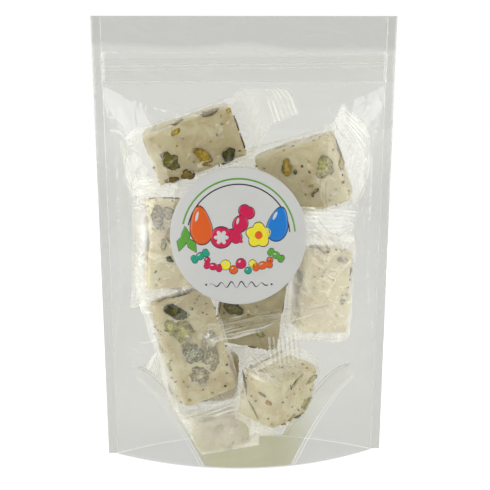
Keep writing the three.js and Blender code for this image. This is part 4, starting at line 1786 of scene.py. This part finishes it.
def add_softbox(scene, name, place, size, power):
    """A white area light that points at the pouch and isn't seen itself."""
    light = bpy.data.lights.new(name, "AREA")
    light.shape = "RECTANGLE"
    light.size, light.size_y = size
    light.energy = power
    holder = bpy.data.objects.new(name, light)
    holder.location = place
    holder.rotation_euler = (Vector(AIM) - Vector(place)).to_track_quat("-Z", "Y").to_euler()
    holder.visible_camera = False
    scene.collection.objects.link(holder)


FLOOR_GREY = (0.25, 0.25, 0.25)
GLOSS_SHARE = 0.06  # of the floor's glow, in what mirrors it
UNDER_POUCH = 0.66  # painted shadow: share of the floor's light left under the pouch, for the shade of the film above it
FOOT_HALF_WIDTH = 65
FOOT_EDGE = (1.06, 0.97)  # shares of the foot's size where its shade begins and is full


def floor_material(glow):
    """Matt white sweep: a painted sheet that also glows, but little in gloss, with a painted shadow under
    the pouch.
    """
    material, tree, output = new_material("white_floor")
    place = tree.own_place()
    grain = tree.noise(place, 300.0, 2.0)
    base = tree.mix_colour(grain, rgba(FLOOR_GREY, 0.96), rgba(FLOOR_GREY, 1.04))
    # Painted shadow: the floor's colour and glow are darker within the pouch's foot.
    split = tree.add("ShaderNodeSeparateXYZ", {0: place})
    x = tree.math("POWER", tree.math("MULTIPLY", split.outputs[0], 1 / (FOOT_HALF_WIDTH * MM)), 2.0)
    y = tree.math("ABSOLUTE", tree.math("MULTIPLY", split.outputs[1], 1 / (BASE_HALF_DEPTH * MM)))
    under = tree.ramp(tree.math("ADD", x, y), *FOOT_EDGE)
    shade = tree.scale_add(under, UNDER_POUCH - 1, 1.0)
    base = tree.mix_colour(1.0, base, shade, "MULTIPLY")
    mirrored = tree.add("ShaderNodeLightPath").outputs["Is Glossy Ray"]
    strength = tree.scale_add(mirrored, glow * (GLOSS_SHARE - 1), glow)
    tree.paint(output, base, 0.9, {
        "Emission Color": WHITE,
        "Emission Strength": tree.math("MULTIPLY", strength, shade),
        "Specular IOR Level": 0.0,
    })
    return material


def add_world(scene, ambient, mirrored):
    """White behind the object, a dimmer room for its light, dark in its gloss."""
    world = bpy.data.worlds.new("studio")
    world.use_nodes = True
    world.node_tree.nodes.clear()
    tree = Tree(world.node_tree)
    seen, room, dark = (
        tree.add("ShaderNodeBackground", {"Color": WHITE, "Strength": strength}).outputs[0]
        for strength in (1.0, ambient, mirrored)
    )
    path = tree.add("ShaderNodeLightPath").outputs
    lit = tree.mix_shader(path["Is Glossy Ray"], room, dark)
    output = tree.add("ShaderNodeOutputWorld")
    tree.put(output.inputs["Surface"], tree.mix_shader(path["Is Camera Ray"], lit, seen))
    scene.world = world


class POUCH_OT_stage(bpy.types.Operator):
    """Builds the camera, the white floor, the room and the softboxes"""

    bl_idname = "nougat_pouch.stage"
    bl_label = "Stage"

    def execute(self, context):
        scene = context.scene
        settings = scene.pouch_studio
        add_camera(scene)
        mesh = bpy.data.meshes.new("floor")
        corners = [(x * FLOOR_HALF, y * FLOOR_HALF, -FLOOR_DROP) for x, y in FLOOR_CORNERS]
        mesh.from_pydata(corners, [], [(0, 1, 2, 3)])
        floor = bpy.data.objects.new("floor", mesh)
        mesh.materials.append(floor_material(settings.floor))
        scene.collection.objects.link(floor)
        for name, place, size in SOFTBOXES:
            add_softbox(scene, name, place, size, getattr(settings, name))
        add_world(scene, settings.ambient, settings.mirrored)
        scene.view_settings.view_transform = "Standard"
        scene.view_settings.look = "None"
        scene.cycles.transparent_max_bounces = 64
        return {"FINISHED"}


# ---------------------------------------------------------------- add-on

SETTINGS = {
    "pouch_film": FilmSettings,
    "pouch_label": LabelSettings,
    "pouch_nougat": NougatSettings,
    "pouch_studio": StudioSettings,
}
OPERATORS = (
    POUCH_OT_stage,
    POUCH_OT_film,
    POUCH_OT_zip,
    POUCH_OT_label,
    POUCH_OT_nougat,
    POUCH_OT_pistachios,
    POUCH_OT_wrappers,
)


class POUCH_PT_sidebar(bpy.types.Panel):
    """Lists the pouch's settings and the buttons that build its pieces"""

    bl_idname = "POUCH_PT_sidebar"
    bl_label = "Nougat Pouch"
    bl_space_type = "VIEW_3D"
    bl_region_type = "UI"
    bl_category = "Nougat Pouch"

    def draw(self, context):
        for name, group in SETTINGS.items():
            box = self.layout.box()
            box.label(text=group.__name__.replace("Settings", ""))
            for key in group.__annotations__:
                box.prop(getattr(context.scene, name), key)
        for operator in OPERATORS:
            self.layout.operator(operator.bl_idname)


def register():
    for cls in (*SETTINGS.values(), *OPERATORS, POUCH_PT_sidebar):
        bpy.utils.register_class(cls)
    for name, group in SETTINGS.items():
        setattr(bpy.types.Scene, name, PointerProperty(type=group))


def unregister():
    for name in SETTINGS:
        delattr(bpy.types.Scene, name)
    for cls in reversed((*SETTINGS.values(), *OPERATORS, POUCH_PT_sidebar)):
        bpy.utils.unregister_class(cls)


def main():
    register()
    for operator in OPERATORS:
        group, name = operator.bl_idname.split(".")
        getattr(getattr(bpy.ops, group), name)()


if __name__ == "__main__":
    main()
